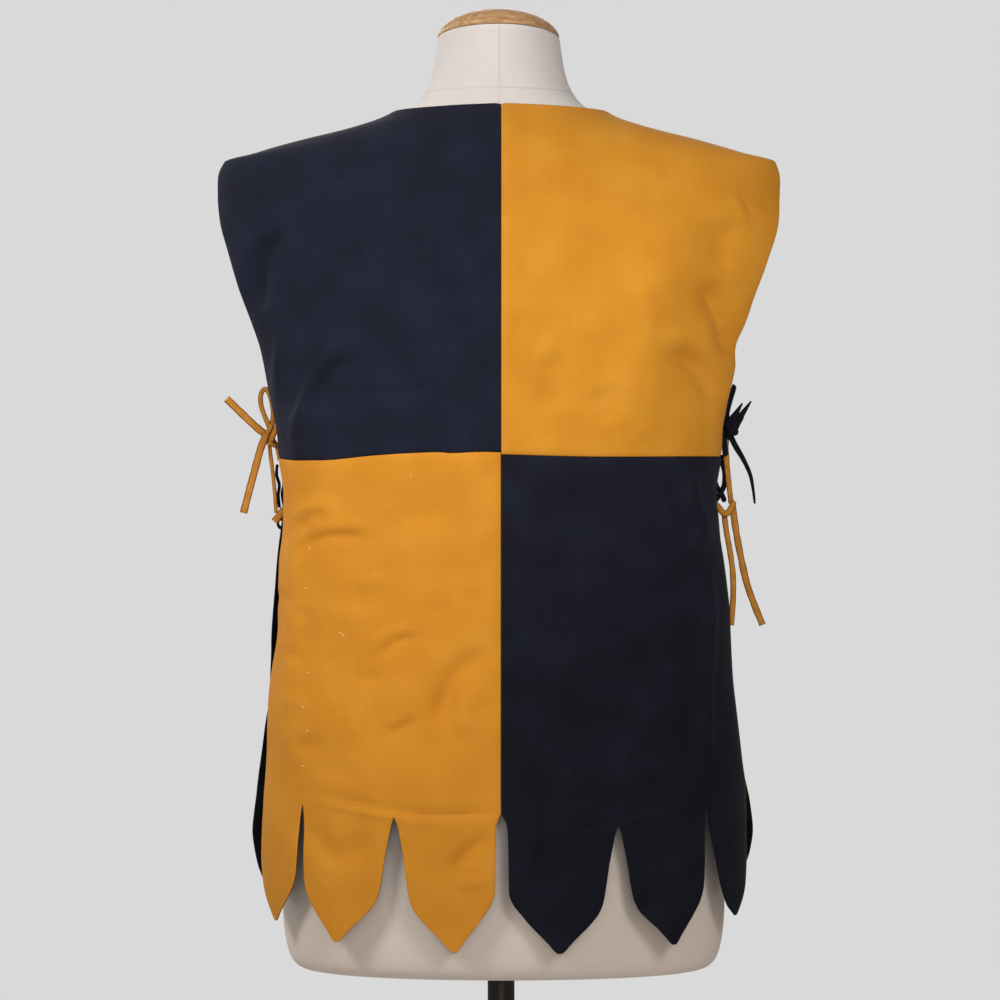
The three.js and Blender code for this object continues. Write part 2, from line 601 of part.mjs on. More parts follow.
// the dress form: the neck's top tips back, and its cap lies on it
const tiltAt = z => neckTilt * THREE.MathUtils.smoothstep(z, neckTiltStart, neckTop)
const formRing = ring => ovalRing(ring, formSides, tiltAt(ring.z), formLean)
group.add(meshOf('form_torso', linen, loft(formRings.map(formRing))))
const capLevels = Array.from({ length: capRows }, (_, i) => {
  const angle = 0.5 * Math.PI * i / capRows
  return ovalRing({
    z: neckTop + seamGap + capRise * Math.sin(angle),
    half: capHalf * Math.cos(angle),
    back: capBack * Math.cos(angle),
    front: capBack * Math.cos(angle),
    square: 2
  }, formSides, neckTilt, formLean)
})
group.add(meshOf('form_cap', wood, loft(capLevels)))

// the stand
const baseTop = baseRings[baseRings.length - 1].z
const poleRings = [baseTop + seamGap, formFloor - seamGap].map(z => round(z, poleRadius, poleSides))
group.add(meshOf('stand_pole', blackPaint, loft(poleRings)))
group.add(meshOf('stand_base', blackPaint, loft(baseRings.map(({ z, radius }) => round(z, radius, baseSides)))))

// the ties
for (const knot of knots) group.add(meshOf(knot.name, knot.finish, fromManifold(toManifold(knotShape(knot)))))
for (const strap of straps) group.add(meshOf(strap.name, strap.finish, strapShape(strap, strapThick)))
for (const lace of laces) group.add(meshOf(lace.name, lace.finish, strapShape(lace, lace.width)))
const eye = new THREE.TorusGeometry(laceEye.ring, laceEye.wire, ...laceEye.sides)
eye.rotateX(Math.PI / 2)
eye.scale(1, 1, laceEye.tall)
eye.translate(...laceEye.at)
group.add(meshOf(laceEye.name, laceEye.finish, fromManifold(toManifold(eye))))

export default group
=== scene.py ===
import bpy
import bmesh
import bisect
import math
from mathutils import Matrix, Vector, noise


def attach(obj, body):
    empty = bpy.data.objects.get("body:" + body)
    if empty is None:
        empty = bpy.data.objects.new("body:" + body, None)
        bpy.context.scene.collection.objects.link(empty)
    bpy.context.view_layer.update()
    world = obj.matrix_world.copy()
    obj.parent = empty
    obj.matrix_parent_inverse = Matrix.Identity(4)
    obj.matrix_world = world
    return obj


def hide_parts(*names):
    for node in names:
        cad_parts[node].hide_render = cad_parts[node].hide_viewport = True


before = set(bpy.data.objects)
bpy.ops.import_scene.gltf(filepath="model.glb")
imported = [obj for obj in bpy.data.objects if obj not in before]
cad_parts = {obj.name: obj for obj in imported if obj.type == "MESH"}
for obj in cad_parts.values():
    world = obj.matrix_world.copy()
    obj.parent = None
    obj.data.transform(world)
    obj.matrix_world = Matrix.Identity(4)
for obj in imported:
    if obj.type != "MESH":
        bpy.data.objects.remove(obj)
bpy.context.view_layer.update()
bpy.ops.object.select_all(action='DESELECT')
scene = bpy.context.scene
scene.view_settings.view_transform = 'Standard'
print('frame loaded')

mm = 0.001

# ---- camera: level, straight at the back, at the height of the waist ----
view = {'distance': 3.6, 'sideways': -0.001, 'height': 1.123, 'width': 0.93, 'sensor': 36}
bpy.ops.object.camera_add(location=(view['sideways'], -view['distance'], view['height']),
                          rotation=(math.pi / 2, 0, 0))
camera = bpy.context.object
camera.name = 'studioCamera'
camera.data.sensor_width = view['sensor']
camera.data.lens = view['sensor'] * view['distance'] / view['width']
scene.camera = camera


# ---- small helpers ----
def rgb(code):
    # sRGB hex to the linear values the shaders want
    parts = [int(code[i:i + 2], 16) / 255 for i in (1, 3, 5)]
    return [c / 12.92 if c <= 0.04045 else ((c + 0.055) / 1.055) ** 2.4 for c in parts] + [1]


def addNode(tree, kind, values=None, links=None, stops=(), **settings):
    node = tree.nodes.new('ShaderNode' + kind)
    for name, value in settings.items():
        setattr(node, name, value)
    for socket, value in (values or {}).items():
        node.inputs[socket].default_value = value
    for socket, source in (links or {}).items():
        tree.links.new(source, node.inputs[socket])
    for n, (at, tone) in enumerate(stops):
        ramp = node.color_ramp.elements
        stop = ramp[n] if n < 2 else ramp.new(at)
        stop.position, stop.color = at, rgb(tone)
    return node


def newMaterial(name, **shader):
    material = bpy.data.materials.new(name)
    material.use_nodes = True
    tree = material.node_tree
    surface = tree.nodes['Principled BSDF']
    for socket, value in shader.items():
        surface.inputs[socket.replace('_', ' ')].default_value = value
    return material, tree, surface


def nodeOf(name):
    # the solid that a piece stands for: tieLeftKnot is tie_left_knot
    return ''.join('_' + letter.lower() if letter.isupper() else letter for letter in name)


def finished(piece, materials, kinds=None):
    # gives a piece its finishes and its body, and hides the solid it stands for
    nodes = [nodeOf(piece.name)]
    kinds = kinds or [face.material_index for face in piece.data.polygons]
    piece.data.materials.clear()
    for material in materials:
        piece.data.materials.append(material)
    piece.data.polygons.foreach_set('material_index', kinds)
    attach(piece, 'root')
    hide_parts(*nodes)


def meshPiece(name, points, faces, uvs):
    # a mesh in metres from points in millimetres, with a UV for each point, smooth all over
    data = bpy.data.meshes.new(name)
    data.from_pydata([[c * mm for c in p] for p in points], [], faces)
    layer = data.uv_layers.new(name='cloth')
    for loop in data.loops:
        layer.data[loop.index].uv = [c * mm for c in uvs[loop.vertex_index]]
    data.polygons.foreach_set('use_smooth', [True] * len(faces))
    data.validate()
    piece = bpy.data.objects.new(name, data)
    scene.collection.objects.link(piece)
    return piece


# ---- materials ----
dyes = {
    # its tones, then painted light and shade by height: how much paler or deeper the colour is made from one
    # height in metres to another, standing in for how the light falls; navy and yellow are painted darker
    # towards the shoulder tops
    'navy': {'name': 'navyCottonCanvas', 'tones': ('#1b1d2a', '#1f2130', '#232637'),
             'wear': ((1.34, 1.02), (1.47, 0.86))},
    # painted shade: a darker copy of the navy canvas for the lower right back quarter, standing in for the
    # shade it lies in, and painted paler towards its top
    'deepNavy': {'name': 'deepNavyCottonCanvas', 'tones': ('#10111a', '#14151f', '#181a26'),
                 'wear': ((0.93, 0.85), (1.15, 1.55))},
    'yellow': {'name': 'yellowCottonCanvas', 'tones': ('#d78c27', '#de942b', '#e39b32'),
               'wear': ((1.34, 1.05), (1.47, 0.86))},
    # painted shade: a darker copy of the yellow canvas for the lower left back quarter, painted darker still
    # towards the dag tips
    'deepYellow': {'name': 'deepYellowCottonCanvas', 'tones': ('#ce8525', '#d48b28', '#da922e'),
                   'wear': ((0.76, 0.88), (1.15, 1.15))},
    'lining': {'name': 'darkCottonLining', 'tones': ('#0f1016', '#14151c', '#191b24')},
    'navyTape': {'name': 'navyCottonTape', 'tones': ('#0f1116', '#14161d', '#1c1f29')},
    # painted shade: darker copies of the tape colours for the tapes' folded edges, standing in for the shade
    # along them
    'navyTapeFold': {'name': 'navyTapeFold', 'tones': ('#08090c', '#0b0c10', '#101218')},
    'yellowTape': {'name': 'yellowCottonTape', 'tones': ('#bd7a2c', '#cb8735', '#d69544')},
    'yellowTapeFold': {'name': 'handledYellowTapeFold', 'tones': ('#7c501f', '#8a5b26', '#9a6930')}
}
canvas = {
    'thread': 2.0,        # mm between threads; real ones lie 0.7 mm apart, drawn coarser so that they show
    'weaveHeight': 0.07,  # mm
    'slub': 60,           # mm long
    'patch': 46,          # mm across, the soft uneven patches of washed canvas
    'pucker': 18,         # mm across
    'puckerHeight': 0.3   # mm
}
tape = {'thread': 1.1, 'weaveHeight': 0.07, 'slub': 18, 'patch': 14, 'pucker': 5, 'puckerHeight': 0.25}
toneStops = (0.36, 0.59, 0.82)    # where the noise gives the dark, middle and light tone
waveTurn = 0.31416                # a wave texture of scale 1 repeats each 0.314 of its coordinate


def wovenCotton(dye, cloth):
    # plain-weave dyed cotton, washed once: matt, with a slight nap, uneven dye and a thread now and
    # then thicker than the rest
    material, tree, surface = newMaterial(dye['name'], Roughness=0.9, Sheen_Weight=0.03,
                                          Sheen_Roughness=0.5, Specular_IOR_Level=0.12)
    place = addNode(tree, 'TexCoord').outputs['UV']
    across, along = [addNode(
        tree, 'TexWave', {'Scale': waveTurn / (cloth['thread'] * mm), 'Distortion': 1.2, 'Detail': 1,
                          'Detail Scale': 0.5},
        {'Vector': place}, wave_type='BANDS', bands_direction=way).outputs['Fac'] for way in 'XY']
    weave = addNode(tree, 'Math', None, {0: across, 1: along}, operation='MAXIMUM').outputs[0]
    slubs = []
    for stretch in ((1, 0.05, 1), (0.05, 1, 1)):
        turned = addNode(tree, 'Mapping', {'Scale': stretch}, {'Vector': place}).outputs[0]
        slubs.append(addNode(tree, 'TexNoise', {'Scale': 1 / (0.05 * cloth['slub'] * mm), 'Detail': 2},
                             {'Vector': turned}).outputs['Fac'])
    slub = addNode(tree, 'Math', None, {0: slubs[0], 1: slubs[1]}, operation='MULTIPLY').outputs[0]
    patch = addNode(tree, 'TexNoise', {'Scale': 1 / (cloth['patch'] * mm), 'Detail': 3, 'Roughness': 0.45},
                    {'Vector': place}).outputs['Fac']
    tone = addNode(tree, 'Math', {1: 0.35}, {0: slub, 2: patch}, operation='MULTIPLY_ADD').outputs[0]
    ramp = addNode(tree, 'ValToRGB', None, {'Fac': tone}, zip(toneStops, dye['tones']))
    shade = addNode(tree, 'MixRGB', {'Fac': 0.08}, {'Color1': ramp.outputs[0], 'Color2': weave},
                    blend_type='MULTIPLY')
    # painted light and shade: the colour is made paler or deeper with height
    if 'wear' in dye:
        (low, atLow), (high, atHigh) = dye['wear']
        whole = addNode(tree, 'TexCoord').outputs['Object']
        height = addNode(tree, 'SeparateXYZ', None, {0: whole}).outputs[2]
        paintedShade = addNode(tree, 'MapRange', {'From Min': low, 'From Max': high, 'To Min': atLow,
                                          'To Max': atHigh}, {'Value': height})
        shade = addNode(tree, 'MixRGB', {'Fac': 1}, {'Color1': shade.outputs[0], 'Color2': paintedShade.outputs[0]},
                        blend_type='MULTIPLY')
    tree.links.new(shade.outputs[0], surface.inputs['Base Color'])
    pucker = addNode(tree, 'TexNoise', {'Scale': 1 / (cloth['pucker'] * mm), 'Detail': 2},
                     {'Vector': place}).outputs['Fac']
    soft = addNode(tree, 'Bump', {'Distance': cloth['puckerHeight'] * mm, 'Strength': 1},
                   {'Height': pucker})
    fine = addNode(tree, 'Bump', {'Distance': cloth['weaveHeight'] * mm, 'Strength': 1},
                   {'Height': weave, 'Normal': soft.outputs[0]})
    tree.links.new(fine.outputs[0], surface.inputs['Normal'])
    return material


linen = {
    'tones': ('#dbd1c9', '#e2dad4'), 'seamTone': '#d6cbc2', 'hipShadeTone': '#d8c6b8',
    'patch': 60, 'rib': 1.6, 'ribHeight': 0.06,     # mm
    # the closing seam down the middle of the back, the two beside it and the one round the neck's
    # foot, each across an axis, in mm
    'seams': ((0, -1.5), (0, -140), (0, 140), (2, 1500)), 'seamEdge': (0.4, 1.2), 'seamDepth': 0.1,
    # painted shade: the heights from which the form is painted darker and browner down towards the hips
    'dust': (1000, 720)                             # mm, the heights between which it comes in
}


def formJersey():
    # fine cotton-linen jersey stretched over a moulded shell: matt, with a barely seen rib
    material, tree, surface = newMaterial('stretchedLinenJersey', Roughness=0.85, Sheen_Weight=0.1,
                                          Specular_IOR_Level=0.25)
    place = addNode(tree, 'TexCoord').outputs['Object']
    patch = addNode(tree, 'TexNoise', {'Scale': 1 / (linen['patch'] * mm), 'Detail': 3},
                    {'Vector': place}).outputs['Fac']
    ramp = addNode(tree, 'ValToRGB', None, {'Fac': patch}, zip((0.3, 0.7), linen['tones']))
    apart = addNode(tree, 'SeparateXYZ', None, {0: place})
    inside, outside = [edge * mm for edge in linen['seamEdge']]
    line = None
    for axis, at in linen['seams']:
        away = addNode(tree, 'Math', {1: at * mm}, {0: apart.outputs[axis]}, operation='SUBTRACT')
        size = addNode(tree, 'Math', None, {0: away.outputs[0]}, operation='ABSOLUTE')
        seam = addNode(tree, 'MapRange', {'From Min': inside, 'From Max': outside},
                       {'Value': size.outputs[0]}).outputs[0]
        line = seam if line is None else addNode(tree, 'Math', None, {0: line, 1: seam},
                                                 operation='MINIMUM').outputs[0]
    tint = addNode(tree, 'MixRGB', {'Color1': rgb(linen['seamTone'])},
                   {'Fac': line, 'Color2': ramp.outputs[0]})
    # painted shade: darker and browner towards the hips, where the cloth hangs over the form and shades it
    shadeStarts, shadeDeepest = [height * mm for height in linen['dust']]
    low = addNode(tree, 'MapRange', {'From Min': shadeStarts, 'From Max': shadeDeepest}, {'Value': apart.outputs[2]})
    paintedShade = addNode(tree, 'MixRGB', {'Color2': rgb(linen['hipShadeTone'])},
                   {'Fac': low.outputs[0], 'Color1': tint.outputs[0]})
    tree.links.new(paintedShade.outputs[0], surface.inputs['Base Color'])
    rib = addNode(tree, 'TexWave', {'Scale': waveTurn / (linen['rib'] * mm), 'Distortion': 0.6},
                  {'Vector': place}, wave_type='BANDS', bands_direction='Z').outputs['Fac']
    groove = addNode(tree, 'Bump', {'Distance': linen['seamDepth'] * mm, 'Strength': 0.6},
                     {'Height': line})
    fine = addNode(tree, 'Bump', {'Distance': linen['ribHeight'] * mm, 'Strength': 1},
                   {'Height': rib, 'Normal': groove.outputs[0]})
    tree.links.new(fine.outputs[0], surface.inputs['Normal'])
    return material


wood = {
    'tones': ('#a67848', '#caa070'), 'grain': 24, 'narrow': 9, 'grainDepth': 0.1     # mm; times narrower
}


def turnedWood():
    # pale beech, turned and oiled: fine straight grain across the cap, half matt
    material, tree, surface = newMaterial('oiledTurnedBeech', Roughness=0.5, Coat_Weight=0.08,
                                          Coat_Roughness=0.35)
    place = addNode(tree, 'TexCoord').outputs['Object']
    turned = addNode(tree, 'Mapping', {'Scale': (1, wood['narrow'], wood['narrow'])},
                     {'Vector': place}).outputs[0]
    grain = addNode(tree, 'TexNoise', {'Scale': round(1 / (wood['grain'] * mm)), 'Detail': 5,
                                       'Distortion': 0.4}, {'Vector': turned}).outputs['Fac']
    ramp = addNode(tree, 'ValToRGB', None, {'Fac': grain}, zip((0.37, 0.63), wood['tones']))
    tree.links.new(ramp.outputs[0], surface.inputs['Base Color'])
    fine = addNode(tree, 'Bump', {'Distance': wood['grainDepth'] * mm, 'Strength': 0.7},
                   {'Height': grain})
    tree.links.new(fine.outputs[0], surface.inputs['Normal'])
    return material


steel = {
    'tones': ('#17110d', '#221a15'), 'gloss': (0.28, 0.42),
    'peel': 260, 'dust': 18, 'peelDepth': 0.05      # spots to the metre, mm
}


def blackPaint():
    # black stove paint on steel: deep brown black with a soft highlight and a slight orange peel
    material, tree, surface = newMaterial('blackStovedSteel', Roughness=0.34, Specular_IOR_Level=0.5)
    place = addNode(tree, 'TexCoord').outputs['Object']
    peel, dust = [addNode(tree, 'TexNoise', {'Scale': steel[spot], 'Detail': detail},
                          {'Vector': place}).outputs['Fac'] for spot, detail in (('peel', 2), ('dust', 4))]
    ramp = addNode(tree, 'ValToRGB', None, {'Fac': dust}, zip((0.35, 0.75), steel['tones']))
    tree.links.new(ramp.outputs[0], surface.inputs['Base Color'])
    rough = addNode(tree, 'MapRange', dict(zip(('To Min', 'To Max'), steel['gloss'])), {'Value': dust})
    tree.links.new(rough.outputs[0], surface.inputs['Roughness'])
    fine = addNode(tree, 'Bump', {'Distance': steel['peelDepth'] * mm, 'Strength': 0.8},
                   {'Height': peel})
    tree.links.new(fine.outputs[0], surface.inputs['Normal'])
    return material


cottons = {name: wovenCotton(dye, tape if 'Tape' in name else canvas) for name, dye in dyes.items()}
jersey = formJersey()
beech = turnedWood()
paint = blackPaint()
print('materials made')


# ---- routes: a smooth curve through a few points, read at even steps ----
curveSteps = 40    # between two points of a route


def smoothLine(route, count):
    points = [Vector(p).to_3d() for p in route]
    ends = [2 * points[0] - points[1], *points, 2 * points[-1] - points[-2]]
    fine = [points[0]]
    for before, start, end, after in zip(ends, ends[1:], ends[2:], ends[3:]):
        a, b, c = [max((q - p).length ** 0.5, 1e-4)
                   for p, q in ((before, start), (start, end), (end, after))]
        leave = ((start - before) / a - (end - before) / (a + b) + (end - start) / b) * b
        reach = ((end - start) / b - (after - start) / (b + c) + (after - end) / c) * b
        for i in range(1, curveSteps + 1):
            t = i / curveSteps
            fine.append(start + leave * t + (3 * (end - start) - 2 * leave - reach) * t * t
                        + (2 * (start - end) + leave + reach) * t ** 3)
    far = [0]
    for p, q in zip(fine, fine[1:]):
        far.append(far[-1] + (q - p).length)
    spots = []
    for i in range(count):
        goal = far[-1] * i / (count - 1)
        k = min(bisect.bisect_right(far, goal), len(far) - 1)
        t = (goal - far[k - 1]) / (far[k] - far[k - 1])
        spots.append(fine[k - 1].lerp(fine[k], t))
    return spots, far[-1]


def tapes(dye):
    return [cottons[dye + 'Tape'], cottons[dye + 'TapeFold']]


strap = {
    'around': 16,                       # points round the section
    'square': 0.62, 'pillow': 0.75,     # powers that fill the section out from an oval
    'press': (0.62, 0.1, 0.16),         # the pressed line beside each fold: place, width, depth
    'wrinkle': (0.12, 0.16),            # share of the width, and how fast it comes and goes
    'taper': 1.15, 'roundEnd': 0.4
}


def strapPiece(name, dye, route, width, thick, tip=None, step=1.6, turn=0, soft=False):
    # a bias tube pressed flat: a pillow section along the route, folded edges, square or soft ends;
    # turn twists it by that many degrees on its way, tip is its width at the end
    count = max(8, round(smoothLine(route, 3)[1] / step)) + 1
    spots, length = smoothLine(route, count)
    around = strap['around']
    pressAt, pressWide, pressDeep = strap['press']
    wrinkle, fast = strap['wrinkle']
    points, uvs = [], []
    for n, spot in enumerate(spots):
        share = n / (count - 1)
        ahead = (spots[min(n + 1, count - 1)] - spots[max(n - 1, 0)]).normalized()
        flat = Vector((0, 1, 0)) - ahead * ahead.y
        flat.normalize()
        side = ahead.cross(flat)
        twist = Matrix.Rotation(math.radians(turn) * share, 3, ahead)
        flat, side = twist @ flat, twist @ side
        wide = width / 2 * (1 if tip is None else 1 + (tip / width - 1) * share ** strap['taper'])
        if soft:
            near = min(share, 1 - share) * length
            wide *= math.sqrt(max(0.06, 1 - max(0, 1 - near / (width * strap['roundEnd'])) ** 2))
        wave = 1 + wrinkle * noise.noise(Vector((n * step * fast, width * 3.1, 0.5)))
        for k in range(around):
            angle = 2 * math.pi * (k + 0.5) / around
            c, s = math.cos(angle), math.sin(angle)
            reach = math.copysign(abs(c) ** strap['square'], c)
            lift = math.copysign(abs(s) ** strap['pillow'], s)
            pinch = 1 - pressDeep * math.exp(-((abs(reach) - pressAt) / pressWide) ** 2)
            points.append(spot + side * reach * wide * wave + flat * lift * thick / 2 * pinch)
            uvs.append((reach * wide, length * share))
    faces, faceEdges = [], []
    for n in range(count - 1):
        for k in range(around):
            a, b = n * around + k, n * around + (k + 1) % around
            faces.append((a, b, b + around, a + around))
            # painted shade: the faces along both folded edges are marked for the darker fold copy of the tape
            faceEdges.append(k % (around // 2) in (0, 1, 5, 6, 7))
    faces += [tuple(range(around))[::-1], tuple((count - 1) * around + k for k in range(around))]
    piece = meshPiece(name, points, faces, uvs)
    outwards(piece)
    for material in tapes(dye):
        piece.data.materials.append(material)
    for face, folded in zip(piece.data.polygons, faceEdges + [False, False]):
        face.use_smooth = len(face.vertices) < 5
        face.material_index = int(folded)
    return piece, [[c * mm for c in p] for p in spots], length * mm


def outwards(piece):
    work = bmesh.new()
    work.from_mesh(piece.data)
    bmesh.ops.recalc_face_normals(work, faces=work.faces)
    work.to_mesh(piece.data)
    work.free()


# ---- the ties: first their free ends and the strands that run between knots ----
tie = {'dye': 'yellow', 'thick': 2.6, 'end': 'bare', 'stiffness': 'medium', 'lay': 'hanging'}
freeEnds = [
    {'name': 'tieLeftEndUp', 'width': 7, 'turn': 12, 'stiffness': 'stiff', 'lay': 'loose',
     'route': [(-217, -3.2, 1182.5), (-226, -3.6, 1189.5), (-240, -5, 1202.6), (-254.8, -7, 1217)]},
    {'name': 'tieLeftEndDown', 'width': 7, 'turn': -10,
     'route': [(-218, -6.8, 1184), (-223, -7.4, 1171), (-229, -8, 1149), (-234.4, -8, 1129),
               (-239, -7.5, 1111)]},
    {'name': 'tieLeftStrand', 'width': 3.6, 'turn': 8, 'end': 'object',
     'route': [(-215.6, -3, 1180), (-214.6, -2, 1168), (-212, -1.5, 1146), (-210.2, -1.5, 1128),
               (-209.2, -1, 1111)]},
    {'name': 'tieRightTail', 'dye': 'navy', 'width': 6, 'tip': 2, 'turn': 15,
     'route': [(212.5, -3, 1184), (217.5, -5, 1173.5), (225, -6, 1160.5), (231.3, -6, 1146.5),
               (234, -5.5, 1133), (235.6, -5, 1119.7)]},
    {'name': 'tieRightStrand', 'width': 5.2, 'turn': 0, 'end': 'object',
     'route': [(209.5, 0, 1184), (209.3, 0, 1166), (211, 0, 1145), (214, 0, 1120)]},
    {'name': 'tieRightEndInner', 'width': 5.4, 'turn': -8,
     'route': [(207.2, -1.4, 1111.4), (209.4, -2, 1094), (212.6, -2.5, 1076), (215.3, -3, 1055),
               (215.6, -3, 1033), (213.9, -3, 1006.5)]},
    {'name': 'tieRightEndOuter', 'width': 6.4, 'turn': 10,
     'route': [(215.2, -1, 1117.6), (218.6, -1.8, 1093), (223, -2.5, 1069), (228.8, -3, 1044),
               (236, -3, 1024), (243, -3, 1007)]}
]
for end in freeEnds:
    end = {**tie, **end}
    piece, path, length = strapPiece(end['name'], end['dye'], end['route'], end['width'], end['thick'],
                                     end.get('tip'), turn=end['turn'])
    finished(piece, tapes(end['dye']))
    print(end['name'], round(length, 4))
print('free ends made')

# loops, slanted ends, bands and laces, which are no free cords
bow = {'dye': 'yellow', 'thick': 2.4, 'step': 1.2, 'turnStep': 0.9}
bowParts = [
    {'name': 'tieLeftLoop', 'width': 4.6,
     'route': [(-214.6, -1, 1186), (-216, -0.6, 1191.8), (-219.5, 0.4, 1200.2), (-222.6, 1.2, 1208.6),
               (-223.8, 1.2, 1216), (-222.8, 1.2, 1223), (-219.3, 1.2, 1226.4), (-215.8, 1.2, 1222),
               (-213.2, 1.2, 1213), (-212, 0.6, 1204), (-212.4, 0, 1196.6), (-213.8, -1, 1187)]},
    {'name': 'tieLeftRoot', 'width': 3.6,
     'route': [(-213.5, -3, 1181), (-209.6, -2.5, 1176), (-207.4, -2.5, 1168), (-205.8, -3, 1160)]},
    {'name': 'tieLeftBand', 'width': 7, 'thick': 2.6,
     'route': [(-210.4, -5.6, 1102.8), (-207, -5.4, 1107), (-203.8, -3.4, 1111.2), (-202, -1.4, 1114.6)]},
    {'name': 'tieRightLoop', 'dye': 'navy', 'width': 4.6,
     'route': [(209.6, -1.4, 1190), (210, -1.4, 1203), (213, -1.8, 1216), (216, -1.2, 1226.4),
               (216.9, 1, 1229), (216.2, 3.4, 1225), (213, 3.8, 1214), (210.4, 3.2, 1203), (211, 2.4, 1194)]},
    {'name': 'tieRightTipShort', 'dye': 'navy', 'width': 9, 'tip': 1.2,
     'route': [(213, -4.6, 1193), (216.4, -5.2, 1200.4), (220.4, -5.6, 1207), (224.1, -6, 1213)]},
    {'name': 'tieRightTipLong', 'dye': 'navy', 'width': 11, 'tip': 1.2,
     'route': [(213, -1.2, 1186), (218.4, -1.4, 1194), (224.6, -2, 1203.6), (232.5, -2.5, 1215)]},
    {'name': 'tieRightBand', 'width': 6, 'thick': 2.6, 'soft': True,
     'route': [(197.6, -4.4, 1120.6), (202.2, -5.4, 1116), (206.6, -6.2, 1110.8), (210.4, -6.2, 1111),
               (213.8, -5.4, 1116), (216.6, -4.6, 1122.4)]},
    {'name': 'laceLeft', 'dye': 'navy', 'width': 3, 'thick': 3,
     'route': [(-208.3, 3, 1156), (-208.9, 2.6, 1146.5), (-206.4, 3, 1137), (-207.4, 2.6, 1127),
               (-206.2, 3, 1116)]},
    {'name': 'laceLeftShort', 'dye': 'navy', 'width': 3, 'thick': 3,
     'route': [(-201.6, 0.6, 1138), (-203.6, 0.4, 1129.5), (-202, 0.6, 1118.5)]}
]
for part in bowParts:
    part = {**bow, **part}
    piece = strapPiece(part['name'], part['dye'], part['route'], part['width'], part['thick'],
                       part.get('tip'), bow['step'], soft=part.get('soft', False))[0]
    finished(piece, tapes(part['dye']))


# ---- knots: a core with the tape's turns, each (width, route), crossing over it; the right lace is
# two crossed strands ----
def joined(pieces, name):
    bpy.ops.object.select_all(action='DESELECT')
    for piece in pieces:
        piece.select_set(True)
    bpy.context.view_layer.objects.active = pieces[0]
    bpy.ops.object.join()
    whole = bpy.context.object
    whole.name = name
    whole.select_set(False)
    return whole


def knotCore(dye, at, half):
    bpy.ops.mesh.primitive_uv_sphere_add(segments=24, ring_count=14, radius=mm)
    core = bpy.context.object
    bpy.ops.object.mode_set(mode='EDIT')
    bpy.ops.transform.resize(value=half)
    bpy.ops.transform.translate(value=[c * mm for c in at])
    bpy.ops.object.mode_set(mode='OBJECT')
    bpy.ops.object.shade_smooth()
    core.data.uv_layers[0].name = 'cloth'
    for spot in core.data.uv_layers[0].data:
        spot.uv = spot.uv * 2 * math.pi * half[0] * mm
    for material in tapes(dye):
        core.data.materials.append(material)
    return core


knots = [
    {'name': 'tieLeftKnot', 'dye': 'yellow', 'cores': [((-213.6, -2.6, 1183.4), (4.2, 3.4, 6.4))],
     'turns': [
         (5.4, [(-214.6, -3.6, 1174.6), (-213, -6.6, 1179.6), (-210.9, -7.2, 1184.8),
                (-209.2, -5.2, 1189.6), (-209.8, -2, 1192)]),
         (5, [(-220.4, -3.2, 1181.4), (-217.4, -6, 1184.8), (-214.6, -6.6, 1189.2), (-213.8, -4.4, 1193.2)]),
         (4, [(-218.2, -4.4, 1177.6), (-213.6, -6, 1175), (-208.6, -4.2, 1172.6)])
     ]},
    {'name': 'tieRightKnot', 'dye': 'navy', 'cores': [((212.6, -1, 1189.4), (6.6, 4, 8.6))],
     'turns': [
         (6.4, [(206, -2, 1196), (210.6, -6, 1192), (215.6, -6.6, 1187.4), (219.6, -4, 1184.4)]),
         (6, [(207.6, -2.6, 1181), (212, -6, 1184), (217, -6, 1190.4), (219.4, -3.4, 1196)]),
         (5.2, [(206.4, -2.2, 1196), (205.4, -3.2, 1186), (207.4, -3.6, 1175), (208.6, -3, 1163.6)])
     ]},
    {'name': 'laceRight', 'dye': 'navy', 'cores': [],
     'turns': [
         (5, [(200.8, 3.4, 1166), (205.4, 3, 1158.6), (208.2, 2.6, 1148), (207.4, 2.6, 1136),
              (202.6, 3, 1127), (199.4, 3.4, 1122)]),
         (5, [(206.4, 5.6, 1165), (201, 6, 1158), (198.6, 6, 1148), (200.2, 6, 1137),
              (205.6, 5.6, 1128), (208.4, 5.2, 1121)])
     ]}
]
for knot in knots:
    bits = [knotCore(knot['dye'], at, half) for at, half in knot['cores']]
    bits += [strapPiece(knot['name'], knot['dye'], route, width, bow['thick'], step=bow['turnStep'],
                        soft=True)[0] for width, route in knot['turns']]
    finished(joined(bits, knot['name']), tapes(knot['dye']))

eye = {'at': (-204.4, -2.4, 1101.4), 'ring': 3, 'wire': 1.3, 'tall': 1.4}
bpy.ops.mesh.primitive_torus_add(major_segments=40, minor_segments=14, major_radius=eye['ring'] * mm,
                                 minor_radius=eye['wire'] * mm)
laceEye = bpy.context.object
laceEye.name = 'laceLeftEye'
bpy.ops.object.mode_set(mode='EDIT')
bpy.ops.transform.rotate(value=math.pi / 2, orient_axis='X', center_override=(0, 0, 0))
bpy.ops.transform.resize(value=(1, 1, eye['tall']))
bpy.ops.transform.translate(value=[c * mm for c in eye['at']])
bpy.ops.object.mode_set(mode='OBJECT')
bpy.ops.object.shade_smooth()
laceEye.select_set(False)
finished(laceEye, [cottons['navyTape']])
print('ties made')


# ---- the dress form: the solids' own shapes, merged and rounded ----
form = {
    'formTorso': (jersey, 'form_linen'), 'formCap': (beech, 'cap_wood'),
    'sharp': 55, 'crease': 0.9, 'flat': 50, 'smooth': 40, 'levels': 2     # angles in degrees
}


